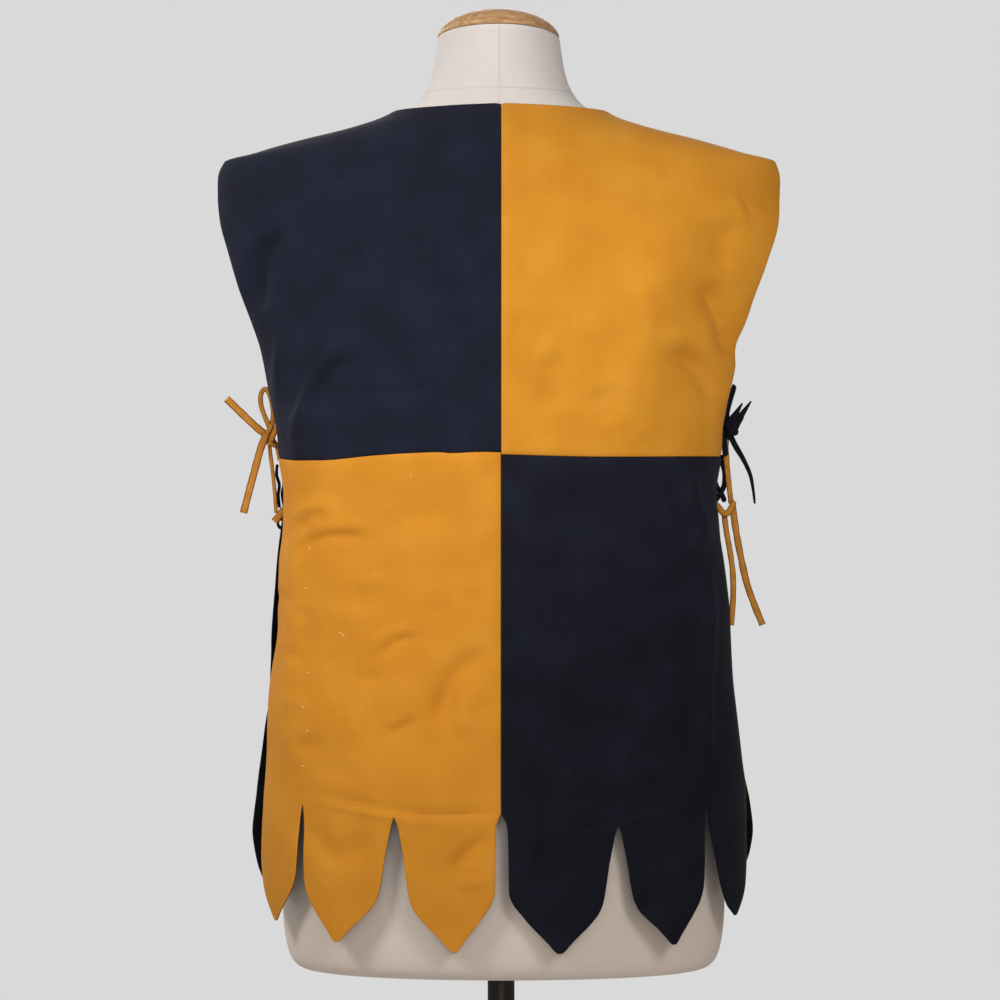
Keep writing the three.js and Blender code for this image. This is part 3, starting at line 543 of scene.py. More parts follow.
def rounded(name):
    material, slot = form[name]
    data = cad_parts[nodeOf(name)].data.copy()
    piece = bpy.data.objects.new(name, data)
    scene.collection.objects.link(piece)
    work = bmesh.new()
    work.from_mesh(data)
    bmesh.ops.remove_doubles(work, verts=work.verts, dist=1e-5)
    bmesh.ops.join_triangles(work, faces=work.faces, angle_face_threshold=math.radians(form['flat']),
                             angle_shape_threshold=math.radians(form['flat']))
    crease = work.edges.layers.float.get('crease_edge') or work.edges.layers.float.new('crease_edge')
    for edge in work.edges:
        if len(edge.link_faces) == 2 and edge.calc_face_angle(0) > math.radians(form['sharp']):
            edge[crease] = form['crease']
    work.to_mesh(data)
    work.free()
    bpy.context.view_layer.objects.active = piece
    piece.select_set(True)
    change = piece.modifiers.new('round', 'SUBSURF')
    change.levels = change.render_levels = form['levels']
    bpy.ops.object.modifier_apply(modifier='round')
    bpy.ops.object.shade_smooth_by_angle(angle=math.radians(form['smooth']))
    piece.select_set(False)
    finished(piece, [material])


rounded('formTorso')
rounded('formCap')
print('form made')

# ---- the stand: a steel tube in a round plate ----
stand = {
    'pole': 12.5, 'foot': 26.3, 'top': 686.7, 'poleEdge': 0.6, 'sharp': 40, 'smooth': 35,
    'plate': 170, 'plateHigh': 9, 'plateEdge': 2, 'hub': 27, 'hubHigh': 26, 'hubFoot': 8, 'hubDraft': 0.93
}


def turnedBar(name, radius, low, high, sides):
    bpy.ops.mesh.primitive_cylinder_add(vertices=sides, radius=radius * mm, depth=(high - low) * mm,
                                        location=(0, 0, (high + low) / 2 * mm))
    bar = bpy.context.object
    bar.name = name
    bpy.ops.object.transform_apply(location=True)
    return bar


pole = turnedBar('standPole', stand['pole'], stand['foot'], stand['top'], 72)
plate = turnedBar('standBase', stand['plate'], 0, stand['plateHigh'], 128)
bpy.ops.object.mode_set(mode='EDIT')
work = bmesh.from_edit_mesh(plate.data)
for face in work.faces:
    face.select_set(face.normal.z > 0.9)
work.select_flush_mode()
bmesh.update_edit_mesh(plate.data)
bpy.ops.mesh.inset(thickness=(stand['plate'] - stand['hub'] - stand['hubFoot']) * mm)
bpy.ops.mesh.inset(thickness=stand['hubFoot'] * mm)
rise = (0, 0, (stand['hubHigh'] - stand['plateHigh']) * mm)
bpy.ops.mesh.extrude_region_move(TRANSFORM_OT_translate={'value': rise})
bpy.ops.transform.resize(value=(stand['hubDraft'], stand['hubDraft'], 1))
bpy.ops.object.mode_set(mode='OBJECT')
for piece, width in ((pole, stand['poleEdge']), (plate, stand['plateEdge'])):
    bpy.ops.object.select_all(action='DESELECT')
    piece.select_set(True)
    bpy.context.view_layer.objects.active = piece
    edge = piece.modifiers.new('edge', 'BEVEL')
    edge.width, edge.segments, edge.limit_method = width * mm, 3, 'ANGLE'
    edge.angle_limit = math.radians(stand['sharp'])
    bpy.ops.object.modifier_apply(modifier='edge')
    bpy.ops.object.shade_smooth_by_angle(angle=math.radians(stand['smooth']))
    finished(piece, [paint])
bpy.ops.object.select_all(action='DESELECT')
print('stand made')

# ---- the cloth: half rings of each side at each height, in mm: (height, left, right, edge, depth,
# squareness); left and right are the side edges' distances from the middle ----
backRings = [
    (1485, 95.5, 94.5, 0, 68, 2.1), (1477, 111, 109, 0, 77, 1.9), (1467, 142, 141, 0, 87, 1.75),
    (1458, 180, 178, 0, 94, 1.65), (1449, 214, 211, 0, 100, 1.6), (1443, 234, 231.5, 0, 103, 1.6),
    (1437.5, 256, 254, 0, 106, 1.6),
    (1421, 262.5, 258.5, 7, 111, 1.65), (1403, 262, 257.5, 15, 114.5, 1.75),
    (1380, 259.5, 255.5, 25, 117.5, 1.85), (1342, 249, 244.5, 34, 120, 1.95),
    (1302, 235, 230, 35, 121, 2.05), (1258, 221, 218.6, 29, 120, 2.15),
    (1222, 214, 211, 19, 119, 2.2), (1183, 207, 204, 10, 118, 2.25), (1163, 205.5, 203.7, 8.5, 118, 2.25),
    (1130, 201, 199, 7.5, 118, 2.25), (1100, 202, 201, 7, 118.5, 2.25), (1065, 205.5, 206.5, 6.5, 119, 2.25),
    (1010, 206, 211, 6, 121, 2.25), (946, 214, 215.5, 5.5, 126, 2.3), (887, 217.5, 222.5, 5, 131, 2.3),
    (850, 219.5, 226.5, 5, 133, 2.3), (784, 221, 227.5, 5, 135, 2.3), (700, 221, 227.5, 5, 137, 2.3)
]
frontRings = [
    (1485, 95.5, 94.5, 0, 50, 2.1), (1477, 111, 109, 0, 62, 1.9), (1467, 142, 141, 0, 75, 1.75),
    (1458, 180, 178, 0, 85, 1.65), (1449, 214, 211, 0, 93, 1.6), (1443, 234, 231.5, 0, 97, 1.6),
    (1437.5, 256, 254, 0, 101, 1.6),
    (1421, 262.5, 258.5, 7, 107, 1.65), (1403, 261.5, 257, 16, 112, 1.75), (1380, 258, 254, 27, 117, 1.85),
    (1342, 246, 242, 38, 122.5, 1.95), (1302, 232, 227.5, 39, 125.5, 2.05),
    (1258, 219, 216.5, 31, 126.5, 2.15),
    (1222, 212, 209, 20, 126, 2.2), (1183, 206, 203, 11, 125.5, 2.25), (1163, 205, 203, 9, 125, 2.25),
    (1130, 203, 201, 8, 125, 2.25), (1100, 204, 202.5, 8, 125, 2.25), (1065, 208, 206, 8, 125.5, 2.25),
    (1010, 213, 209.5, 8, 127, 2.25), (946, 215.2, 213, 8, 130, 2.3), (887, 222.5, 222, 9, 132.5, 2.3),
    (850, 227.5, 229.5, 9, 134, 2.3), (814, 231.6, 235.6, 10, 135, 2.3), (797, 230, 234, 10, 135.5, 2.3),
    (766, 223.5, 224.5, 10, 136, 2.3), (700, 214, 216, 10, 137, 2.3)
]
dagOutlines = {        # drop, and how far that side of the dag has closed
    'centre': [(0, 0), (0.05, 0.07), (0.11, 0.11), (0.3, 0.125), (0.57, 0.135), (0.66, 0.22), (0.72, 0.34),
               (0.8, 0.5), (0.88, 0.69), (0.94, 0.83), (0.985, 0.92), (1, 0.965)],
    'open': [(0, 0), (0.06, 0.05), (0.15, 0.09), (0.3, 0.155), (0.5, 0.22), (0.61, 0.265), (0.69, 0.34),
             (0.78, 0.5), (0.87, 0.7), (0.94, 0.84), (0.985, 0.92), (1, 0.965)],
    'steep': [(0, 0), (0.06, 0.04), (0.2, 0.075), (0.4, 0.1), (0.58, 0.14), (0.68, 0.24), (0.77, 0.42),
              (0.86, 0.64), (0.94, 0.83), (0.985, 0.92), (1, 0.965)],
    'slanted': [(0, 0), (0.1, 0.035), (0.26, 0.1), (0.5, 0.26), (0.77, 0.47), (0.9, 0.64), (0.96, 0.82),
                (0.985, 0.91), (1, 0.965)],
    'outer': [(0, 0), (0.13, 0.1), (0.38, 0.145), (0.58, 0.185), (0.68, 0.27), (0.77, 0.44), (0.86, 0.65),
              (0.94, 0.83), (0.985, 0.92), (1, 0.965)]
}
dagSides = [('centre', 'open'), ('open', 'steep'), ('steep', 'outer')]    # from the middle outwards
panels = {
    # Left and Right: how far the cross seam rises above its level at each distance from the middle
    'back': {
        'facing': -1, 'rings': backRings, 'foldGain': 1.9,
        'neck': [(0, 0), (0.25, 1), (0.6, 2), (0.85, 1.8), (1, 0)],
        'Left': [(0, 2.9), (17, 3.4), (46, 2.3), (55, 3.2), (89, 2), (118, 0), (163, -3.8), (185, -3.8),
                 (206, -1.5)],
        'Right': [(0, 1), (90, -1), (204, 0)]
    },
    'front': {
        'facing': 1, 'rings': frontRings, 'foldGain': 1.15,
        'neck': [(0, 95), (0.1, 92), (0.18, 84), (0.25, 70), (0.308, 54), (0.39, 39), (0.485, 28.5),
                 (0.62, 18.5), (0.785, 8.5), (1, 0)],
        'Left': [(0, 1), (110, 3), (205, 0)],
        'Right': [(0, 2), (120, -1), (204, 0)]
    }
}
cloth = {      # mm
    'wall': 2, 'gap': 0.15,
    'seam': 1163, 'neck': 1485, 'tip': 1437.5, 'slopeEnd': 1436, 'slot': 842,     # heights
    'waveReach': 50,                          # over which the cross seam's rise fades out
    'bend': 16, 'bendFrom': 60, 'bendBlend': 30,      # how the shoulder rounds into the back
    'cell': 4, 'neckCell': 1, 'slopeCell': 1.8,       # between grid lines
    'edgeLines': (1.1, 2.6),                  # finer ones beside seams and edges
    'ringSteps': 120, 'wide': 258, 'dagWide': 88, 'dagLong': 120, 'closeWide': 260, 'closeLong': 90,
    'thinEdge': 0.45, 'edgeRound': 2.8,       # share of the wall left at a bagged-out edge
    'seamDip': 1.0, 'seamReach': 3, 'liftReach': 4.5,
    'slack': ((70, 1.7), (26, 0.6)),          # soft unevenness: across, high
    'restsAbove': 1425, 'restFade': 60, 'seamHold': 14, 'leastSlack': 0.12,
    'skirt': 430,                             # over which the flutes open out
    'foldFade': 0.32, 'foldReach': 2.6        # shares of its length and times its width
}


def tableReader(rows):
    # a smooth curve through each column that never overshoots a row
    keys = [row[0] for row in rows]
    rising = keys[-1] > keys[0]
    columns = []
    for column in list(zip(*rows))[1:]:
        steps = [(b - a) / (q - p) for a, b, p, q in zip(column, column[1:], keys, keys[1:])]
        pairs = zip([steps[0], *steps], [*steps, steps[-1]])
        columns.append((column, [0 if a * b <= 0 else 2 * a * b / (a + b) for a, b in pairs]))

    def read(at):
        i = 0
        while i < len(keys) - 2 and (at > keys[i + 1] if rising else at < keys[i + 1]):
            i += 1
        span = keys[i + 1] - keys[i]
        t = min(max((at - keys[i]) / span, 0), 1)
        return [v[i] + (v[i + 1] - v[i]) * t * t * (3 - 2 * t)
                + span * (s[i] * t * (1 - t) ** 2 - s[i + 1] * t * t * (1 - t)) for v, s in columns]
    return read


def halfRing(half, edge, depth, power):
    # from the middle of the panel round to its side edge, with the distance along it
    edge = max(edge, cloth['gap'])
    reach = half / (1 - (edge / depth) ** power) ** (1 / power)
    last = math.asin(min(1, (half / reach) ** (power / 2)))
    spots, arcs = [(0, depth)], [0]
    for i in range(1, cloth['ringSteps'] + 1):
        angle = last * i / cloth['ringSteps']
        spots.append((reach * math.sin(angle) ** (2 / power), depth * max(math.cos(angle), 0) ** (2 / power)))
        arcs.append(arcs[-1] + math.dist(spots[-1], spots[-2]))
    return spots, arcs


def clothSurface(rings, side, facing, wave):
    # gives the point at a share q of the ring at height z, and its distance along the ring
    ringAt, riseAt = tableReader(rings), tableReader(wave)
    kept = {}

    def ringSpot(level, q):
        if level not in kept:
            left, right, edge, depth, power = ringAt(level / 2)
            kept[level] = halfRing(left if side < 0 else right, edge, depth, power)
        spots, arcs = kept[level]
        goal = q * arcs[-1]
        i = min(bisect.bisect_right(arcs, goal), len(arcs) - 1) - 1
        t = (goal - arcs[i]) / (arcs[i + 1] - arcs[i])
        return [spots[i][k] + (spots[i + 1][k] - spots[i][k]) * t for k in (0, 1)] + [goal]

    def levelSpot(q, z):
        level = math.floor(z * 2)
        t = z * 2 - level
        return [a + (b - a) * t for a, b in zip(ringSpot(level, q), ringSpot(level + 1, q))]

    def at(q, z):
        # the bend from the shoulder slope to the back is rounded over, less towards its outer end
        above = z - cloth['tip'] + cloth['bendFrom']
        reach = min(cloth['bend'], cloth['neck'] - z) * (1 - q ** 3) * min(1, above / cloth['bendBlend'])
        steps = range(-4, 5) if reach > 0.2 else [0]
        spots = [levelSpot(q, z + reach * k / 4) for k in steps]
        x, y, arc = [sum(column) / len(spots) for column in zip(*spots)]
        rise = riseAt(x)[0] * math.exp(-((z - cloth['seam']) / cloth['waveReach']) ** 2)
        return Vector((side * max(x, cloth['gap']), facing * max(y, cloth['gap']), z + rise)), arc
    return at


def gridLines(length):
    # shares from 0 to 1, a cell apart, with finer lines beside both ends
    count = max(3, round(length / cloth['cell']))
    fine = [line / length for line in cloth['edgeLines']]
    middle = [i / count for i in range(1, count) if fine[-1] * 1.6 < i / count < 1 - fine[-1] * 1.6]
    return [0, *fine, *middle, *[1 - f for f in reversed(fine)], 1]


def newSheet():
    return {'points': [], 'arcs': [], 'rims': [], 'flags': [], 'quads': []}


def addPoint(sheet, found, height, seamAway, edgeAway, seams):
    point, arc = found
    sheet['points'].append(point)
    sheet['arcs'].append((arc, height))
    sheet['rims'].append((seamAway, edgeAway))
    sheet['flags'].append(seams)
    return len(sheet['points']) - 1


def joinRows(sheet, upper, lower):
    sheet['quads'] += [(a, c, d, b) for a, b, c, d in zip(upper, upper[1:], lower, lower[1:])]
    return lower


def upperGrid(at, neck):
    dropAt = tableReader(neck)
    heights, z = [], cloth['neck']
    while z > cloth['seam'] + 5:
        heights.append(z)
        onNeck, onSlope = z > cloth['neck'] - 3, z > cloth['slopeEnd']
        z -= cloth['neckCell'] if onNeck else cloth['slopeCell'] if onSlope else cloth['cell']
    heights += [cloth['seam'] + h for h in (4, 2.2, 1)] + [cloth['seam']]
    sheet, above = newSheet(), []
    for height in heights:
        share = (height - cloth['seam']) / (cloth['neck'] - cloth['seam'])
        onCross = height == cloth['seam']
        row = []
        for q in gridLines(cloth['wide']):
            z = height - dropAt(q)[0] * share + (cloth['gap'] if onCross else 0)
            found = at(q, z)
            outer = (1 - q) * (found[1] / q if q else 1e3)
            seams = [found[1], z - cloth['seam'] + 0.1] + ([outer] if z > cloth['tip'] else [])
            row.append(addPoint(sheet, found, height, min(seams), min(outer, (cloth['neck'] - height) * 1.4),
                                [q == 0, q == 1 and z >= cloth['tip'], onCross]))
        above = joinRows(sheet, above, row)
    return sheet


def lowerGrid(at, quarter):
    sheet, above, dags = newSheet(), [], []

    def place(q, z, edgeAway, onCross=False):
        found = at(q, z)
        return addPoint(sheet, found, z, min(found[1], cloth['seam'] - z + 0.1), edgeAway,
                        [q == 0, False, onCross])

    for (start, slotIn), (end, slotOut) in zip(quarter['slots'], quarter['slots'][1:]):
        dags.append([(start + (end - start) * s, slotIn + (slotOut - slotIn) * s)
                     for s in gridLines(cloth['dagWide'])])
    for share in gridLines(cloth['seam'] - cloth['slot']):
        row = []
        for q, slot in dags[0] + [column for dag in dags[1:] for column in dag[1:]]:
            z = cloth['seam'] - (cloth['seam'] - slot) * share - (0 if share else cloth['gap'])
            row.append(place(q, z, at(q, z)[1] * (1 - q) / q if q else 1e3, share == 0))
        above = joinRows(sheet, above, row)
    closeAt = {kind: tableReader(rows) for kind, rows in dagOutlines.items()}
    first = 0
    for dag, (tip, lean), kinds in zip(dags, quarter['tips'], quarter.get('sides', dagSides)):
        sides = dag[0][0], dag[-1][0]
        whole = sides[1] - sides[0]
        middle = sides[0] + whole * lean
        upper = above[first:first + len(dag)]
        first += len(dag) - 1
        for drop in gridLines(cloth['dagLong'])[1:]:
            start, end = [side + (middle - side) * closeAt[kind](drop)[0] for side, kind in zip(sides, kinds)]
            row = []
            for q, slot in dag:
                share = (q - sides[0]) / whole
                aside = min(share, 1 - share) * (end - start) * cloth['closeWide']
                row.append(place(start + (end - start) * share, slot + (tip - slot) * drop,
                                 min(aside, (1 - drop) * cloth['closeLong'])))
            upper = joinRows(sheet, upper, row)
    return sheet


def pointNormals(sheet, facing):
    # each point's outward normal; on a seam it stays in the seam's own plane
    points = sheet['points']
    normals = [Vector() for _ in points]
    for a, b, c, d in sheet['quads']:
        cross = (points[c] - points[a]).cross(points[d] - points[b])
        for i in (a, b, c, d):
            normals[i] += cross
    turn = facing * sum(n.y for n in normals)
    for normal, (onMiddle, onShoulder, onCross) in zip(normals, sheet['flags']):
        if turn < 0:
            normal.negate()
        if onMiddle:
            normal.x = 0
        if onShoulder:
            normal.y = 0
        if onCross:
            normal.z = 0
        normal.normalize()
    return normals


def foldHeight(fold, x, z):
    # a soft ridge or trough along its line, or a step whose left side is high, fading out to both ends
    height, width, spots, step, box = fold
    if not (box[0] < x < box[1] and box[2] < z < box[3]):
        return 0
    best, share, left = 1e9, 0, 1
    for i in range(len(spots) - 1):
        (x0, z0), (x1, z1) = spots[i], spots[i + 1]
        dx, dz = x1 - x0, z1 - z0
        t = min(max(((x - x0) * dx + (z - z0) * dz) / (dx * dx + dz * dz), 0), 1)
        away = (x - x0 - dx * t) ** 2 + (z - z0 - dz * t) ** 2
        if away < best:
            best, share = away, (i + t) / (len(spots) - 1)
            left = math.copysign(1, dx * (z - z0) - dz * (x - x0))
    fade = min(1, min(share, 1 - share) / cloth['foldFade'])
    side = left * 2.33 * math.sqrt(best) / width if step else 1     # 2.33 brings a step to its full height
    return height * side * math.exp(-best / width ** 2) * fade * fade * (3 - 2 * fade)


def preparedFold(height, width, line, step=False):
    spots = smoothLine([(x, z, 0) for x, z in line], 13)[0]
    spots = [(p.x, p.y) for p in spots]
    reach = cloth['foldReach'] * width
    xs, zs = zip(*spots)
    return height, width, spots, step, (min(xs) - reach, max(xs) + reach, min(zs) - reach, max(zs) + reach)


def clothPiece(name, quarter):
    panel = panels['back' if name.startswith('back') else 'front']
    hand = 'Left' if name.endswith('Left') else 'Right'
    side, facing = -1 if hand == 'Left' else 1, panel['facing']
    at = clothSurface(panel['rings'], side, facing, panel[hand])
    sheet = lowerGrid(at, quarter) if 'slots' in quarter else upperGrid(at, panel['neck'])
    points, arcs, rims = sheet['points'], sheet['arcs'], sheet['rims']
    flatArea = sum(0.5 * (points[c] - points[a]).cross(points[d] - points[b]).length
                   for a, b, c, d in sheet['quads'])
    folds = [preparedFold(panel['foldGain'] * fold[0], *fold[1:]) for fold in quarter['folds']]
    normals = pointNormals(sheet, facing)
    moved = []
    for point, normal, (seamAway, edgeAway) in zip(points, normals, rims):
        below = cloth['seam'] - point.z
        push = sum(foldHeight(fold, point.x, point.z) for fold in folds)
        for n, (size, height) in enumerate(cloth['slack']):
            seed = 7.3 * n + facing * 2 + side
            push += height * noise.noise(Vector((point.x / size, point.z / size, seed)))
        for high, wide, centre in quarter.get('flutes', ()):
            down = max(0, below / cloth['skirt'])
            push += high * down * down * math.exp(-((point.x - centre) / wide) ** 2)
        # the shoulders lie on the form and the seams hold the cloth, so both keep the slack small
        free = min(1, max(0, (cloth['restsAbove'] - point.z) / cloth['restFade']))
        push *= max(free * min(1, seamAway / cloth['seamHold'] + 0.1), cloth['leastSlack'])
        push -= cloth['seamDip'] * math.exp(-(seamAway / cloth['seamReach']) ** 2)
        push += quarter.get('crossLift', 0) * math.exp(-(below / cloth['liftReach']) ** 2)
        moved.append(point + normal * push)
    sheet['points'] = moved
    normals = pointNormals(sheet, facing)
    walls = []
    for pair in rims:
        near = min(1, min(abs(away) for away in pair) / cloth['edgeRound'])
        walls.append(cloth['wall'] / 2 * (cloth['thinEdge'] + (1 - cloth['thinEdge']) * near ** 0.5))
    count = len(moved)
    outer = [p + n * w for p, n, w in zip(moved, normals, walls)]
    inner = [p - n * w for p, n, w in zip(moved, normals, walls)]
    a, b, c, d = sheet['quads'][len(sheet['quads']) // 2]
    flip = (moved[c] - moved[a]).cross(moved[d] - moved[b]).y * facing < 0
    quads = [q[::-1] if flip else q for q in sheet['quads']]
    faces = list(quads) + [tuple(i + count for i in reversed(q)) for q in quads]
    kinds = [0] * len(quads) + [1] * len(quads)
    # the rim: canvas turns in to its middle, where the lining meets it; rim 1 makes it all dark lining, which
    # is partly the lining seen at the cut edges and partly painted shade along the edges of the dags and
    # slots
    sides = {(q[i], q[(i + 1) % 4]) for q in quads for i in range(4)}
    borders = sorted(pair for pair in sides if pair[::-1] not in sides)
    turned = {i: 2 * count + n for n, i in enumerate(sorted({i for pair in borders for i in pair}))}
    for i, j in borders:
        faces += [(j, i, turned[i], turned[j]), (turned[j], turned[i], i + count, j + count)]
        kinds += [quarter.get('rim', 0), 1]
    middle = [moved[i] for i in turned]
    piece = meshPiece(name, outer + inner + middle, faces, arcs + arcs + [arcs[i] for i in turned])
    finished(piece, [cottons[quarter['dye']], cottons['lining']],
             kinds)
    print(name, 'flat area', round(flatArea * mm * mm, 4), 'faces', len(faces))
    return piece


def hemLine(groove, step, line):
    # the turned-up hem: its stitched groove and, 2 mm lower, the step of the doubled cloth
    return [(groove, 1.8, line), (step, 5, [(x, z - 2) for x, z in line], True)]


# cut and area are in metres, the rest in mm: a fold is (height, width, its line, True for a step), slots
# gives each slot's share of the way round and its height, tips each dag's height and lean, a flute is
# (height, width, distance from the middle) and crossLift stands the cloth out along the cross seam
quarters = {}
quarters['backUpperLeft'] = {
    'dye': 'navy', 'cut': (0.305, 0.345), 'area': 0.09,
    'folds': [
        (-5, 9.5, [(-190, 1364), (-209, 1359), (-221, 1344), (-224, 1319), (-219, 1292)]),
        (-1.2, 10, [(-192, 1368), (-211, 1363), (-224, 1346), (-228, 1320), (-222, 1290)], True),
        (1.5, 12, [(-195, 1337), (-202, 1312), (-204, 1287)]),
        (1.5, 4, [(-199, 1285), (-204, 1253), (-206, 1211)]),
        (2.7, 5, [(-141, 1274), (-162, 1244), (-176, 1220), (-187, 1189), (-192, 1163)]),
        (-2.0, 11, [(-130, 1258), (-148, 1242), (-161, 1220), (-172, 1195)]),
        (-2.2, 11, [(-177, 1253), (-188, 1227), (-197, 1197)]),
        (-1.4, 7, [(-154, 1239), (-140, 1245), (-125, 1256)]),
        (0.45, 3.5, [(-149, 1226), (-117, 1226), (-62, 1224)], True),
        (-1.2, 6, [(-84, 1223), (-73, 1224), (-62, 1223)]),
        (1.1, 4, [(-111, 1225), (-102, 1235), (-94, 1244)]),
        (-0.6, 3, [(-56, 1382), (-50, 1368), (-44, 1350)]),
        (1.6, 24, [(-55, 1411), (-60, 1357), (-53, 1294)]),
        (-1.6, 22, [(-109, 1420), (-116, 1357), (-107, 1294)])
    ]}
quarters['backUpperRight'] = {
    'dye': 'yellow', 'cut': (0.305, 0.345), 'area': 0.09,
    'folds': [
        (-1.0, 5, [(209, 1408), (220, 1395), (228, 1374)], True),
        (1.3, 9, [(184, 1428), (195, 1415), (205, 1400)]),
        (-2.6, 15, [(201, 1382), (202, 1352), (199, 1326)]),
        (-6.2, 12, [(168, 1314), (190, 1310), (202, 1292), (209, 1269), (212, 1244)]),
        (-4.6, 11, [(136, 1255), (170, 1250), (188, 1231), (199, 1200)]),
        (1.6, 10, [(132, 1267), (170, 1265), (192, 1245)]),
        (-1.6, 16, [(4, 1287), (26, 1272), (46, 1262)]),
        (-2.0, 15, [(42, 1260), (50, 1231), (53, 1199)]),
        (-1.4, 14, [(86, 1227), (94, 1211), (104, 1191)]),
        (1.5, 12, [(125, 1337), (128, 1290), (126, 1245)]),
        (4.0, 34, [(158, 1402), (141, 1303), (127, 1231), (130, 1150)]),
        (1.2, 22, [(53, 1402), (58, 1348), (50, 1294)])
    ]}
# painted shade: this quarter takes the darker deepYellow copy of the yellow canvas
quarters['backLowerLeft'] = {
    'dye': 'deepYellow', 'slot': 'yellow', 'rim': 1, 'cut': (0.29, 0.455), 'area': 0.112, 'crossLift': 0.9,
    'slots': [(0, 842), (0.34, 838.3), (0.67, 846.8), (1, 850)],
    'tips': [(717.6, 0.427), (724.7, 0.573), (738.5, 0.402)],
    'flutes': [(2.4, 24, -150), (-2.2, 22, -108), (2.0, 24, -62), (-1.6, 16, -24)],
    'folds': [
        (1.5, 6, [(-190, 1067), (-180, 1083), (-165, 1092), (-140, 1095), (-112, 1092)], True),
        (0.9, 5, [(-188, 1098), (-177, 1110), (-154, 1116)], True),
        (1.5, 13, [(-184, 1101), (-166, 1112), (-143, 1118)]),
        (1.3, 6, [(-132, 1044), (-116, 1049), (-100, 1052)]),
        (-1.0, 6, [(-190, 1015), (-179, 1018), (-168, 1016)]),
        (1.5, 6, [(-116, 979), (-100, 997), (-71, 1006)], True),
        (-3.0, 9, [(-62, 909), (-53, 943), (-39, 968), (-17, 983), (1, 986)]),
        (2.0, 12, [(-40, 905), (-32, 938), (-15, 961)]),
        (1.3, 5.5, [(-109, 914), (-94, 920), (-73, 932)], True),
        (-1.2, 6, [(-136, 957), (-122, 963), (-105, 959)]),
        (-1.6, 7, [(-44, 907), (-46, 934), (-43, 961)]),
        (1.6, 9, [(-189, 1150), (-190, 1069), (-191, 961), (-193, 862)]),
        (-1.1, 7, [(-206, 1040), (-197, 1031), (-186, 1028)]),
        (-1.0, 6, [(-200, 986), (-190, 980), (-178, 984)]),
        (0.9, 7, [(-197, 946), (-184, 938), (-171, 941)]),
        (-1.2, 7, [(-192, 905), (-176, 899), (-158, 903)]),
        (-1.0, 8, [(-170, 884), (-146, 876), (-118, 880)]),
        (0.9, 9, [(-150, 1010), (-128, 1018), (-104, 1016)]),
        (-0.9, 8, [(-96, 1102), (-70, 1110), (-46, 1108)]),
        *hemLine(-0.45, -0.95, [(-190, 860), (-150, 853), (-98, 843), (-64, 840), (14, 843)]),
        (-1.8, 10, [(-176, 837), (-150, 801), (-111, 821)]),
        (-2.2, 7, [(-50, 785), (-24, 812), (-3, 826)]),
        (1.2, 6, [(-44, 777), (-26, 781), (-8, 779)])
    ]}
# painted shade: this quarter takes the darker deepNavy copy of the navy canvas
quarters['backLowerRight'] = {
    'dye': 'deepNavy', 'slot': 'navy', 'cut': (0.295, 0.455), 'area': 0.112,
    'slots': [(0, 842), (0.366, 831), (0.68, 846.7), (1, 850)],
    'tips': [(716.7, 0.489), (722, 0.574), (743, 0.423)],
    'sides': [*dagSides[:2], ('slanted', 'outer')],
    'flutes': [(-2.0, 20, 24), (2.4, 22, 66), (-2.4, 22, 108), (2.2, 24, 152)],
    'folds': [
        (2.6, 7, [(172, 1163), (175, 1120), (183, 1094), (159, 1064)]),
        (-1.8, 9, [(158, 1159), (159, 1123), (165, 1087)]),
        (2.6, 5, [(186, 1080), (190, 1033), (187, 943), (189, 853)]),
        (-2.2, 12, [(172, 1042), (170, 952), (172, 871)]),
        (2.0, 14, [(71, 997), (82, 972), (91, 945)]),
        (0.5, 7, [(80, 1001), (98, 1004), (114, 1008)], True),
        (0.4, 7, [(82, 984), (100, 988), (112, 992)], True),
        (-2.4, 5.5, [(29, 900), (38, 862), (39, 808), (27, 779), (8, 766)]),
        (-1.5, 7, [(127, 866), (148, 868), (174, 866)]),
        (2.2, 13, [(109, 916), (112, 880), (111, 846)]),
        (-1.6, 7, [(96, 911), (99, 893), (98, 875)]),
        *hemLine(-0.5, -0.8, [(-12, 841), (50, 829), (96, 832), (121, 842), (147, 849), (192, 852)]),
        (-1.8, 9, [(122, 760), (134, 758), (147, 761)]),
        (-1.4, 14, [(53, 1105), (58, 1060), (51, 1006)])
    ]}
quarters['frontUpperLeft'] = {
    'dye': 'yellow', 'cut': (0.305, 0.34), 'area': 0.085,
    'folds': [
        (-4.8, 9, [(-168, 1332), (-182, 1302), (-200, 1272), (-208, 1240)]),
        (2.5, 9, [(-186, 1330), (-202, 1296), (-212, 1262)]),
        (-2.7, 8, [(-120, 1262), (-156, 1250), (-176, 1216), (-184, 1184)]),
        (2.0, 10, [(-116, 1246), (-150, 1234), (-164, 1206)]),
        (2.0, 13, [(-96, 1350), (-102, 1290), (-92, 1226)]),
        (-1.9, 14, [(-60, 1330), (-54, 1270), (-62, 1210)]),
        (-2.0, 9, [(-214, 1396), (-218, 1352), (-210, 1306)]),
        (1.7, 10, [(-30, 1300), (-34, 1250), (-28, 1200)])
    ]}
quarters['frontUpperRight'] = {
    'dye': 'navy', 'cut': (0.305, 0.34), 'area': 0.085,
    'folds': [
        (-3.7, 10, [(160, 1340), (184, 1306), (204, 1268)]),
        (2.4, 9, [(178, 1344), (200, 1306), (214, 1270)]),
        (3.9, 10, [(148, 1256), (166, 1228), (178, 1196), (186, 1164)]),
        (-2.2, 8, [(134, 1258), (146, 1232), (152, 1206)]),
        (1.9, 14, [(84, 1348), (90, 1286), (80, 1222)]),
        (-1.7, 14, [(48, 1320), (42, 1268), (50, 1214)]),
        (-2.0, 9, [(216, 1390), (214, 1350), (206, 1312)])
    ]}
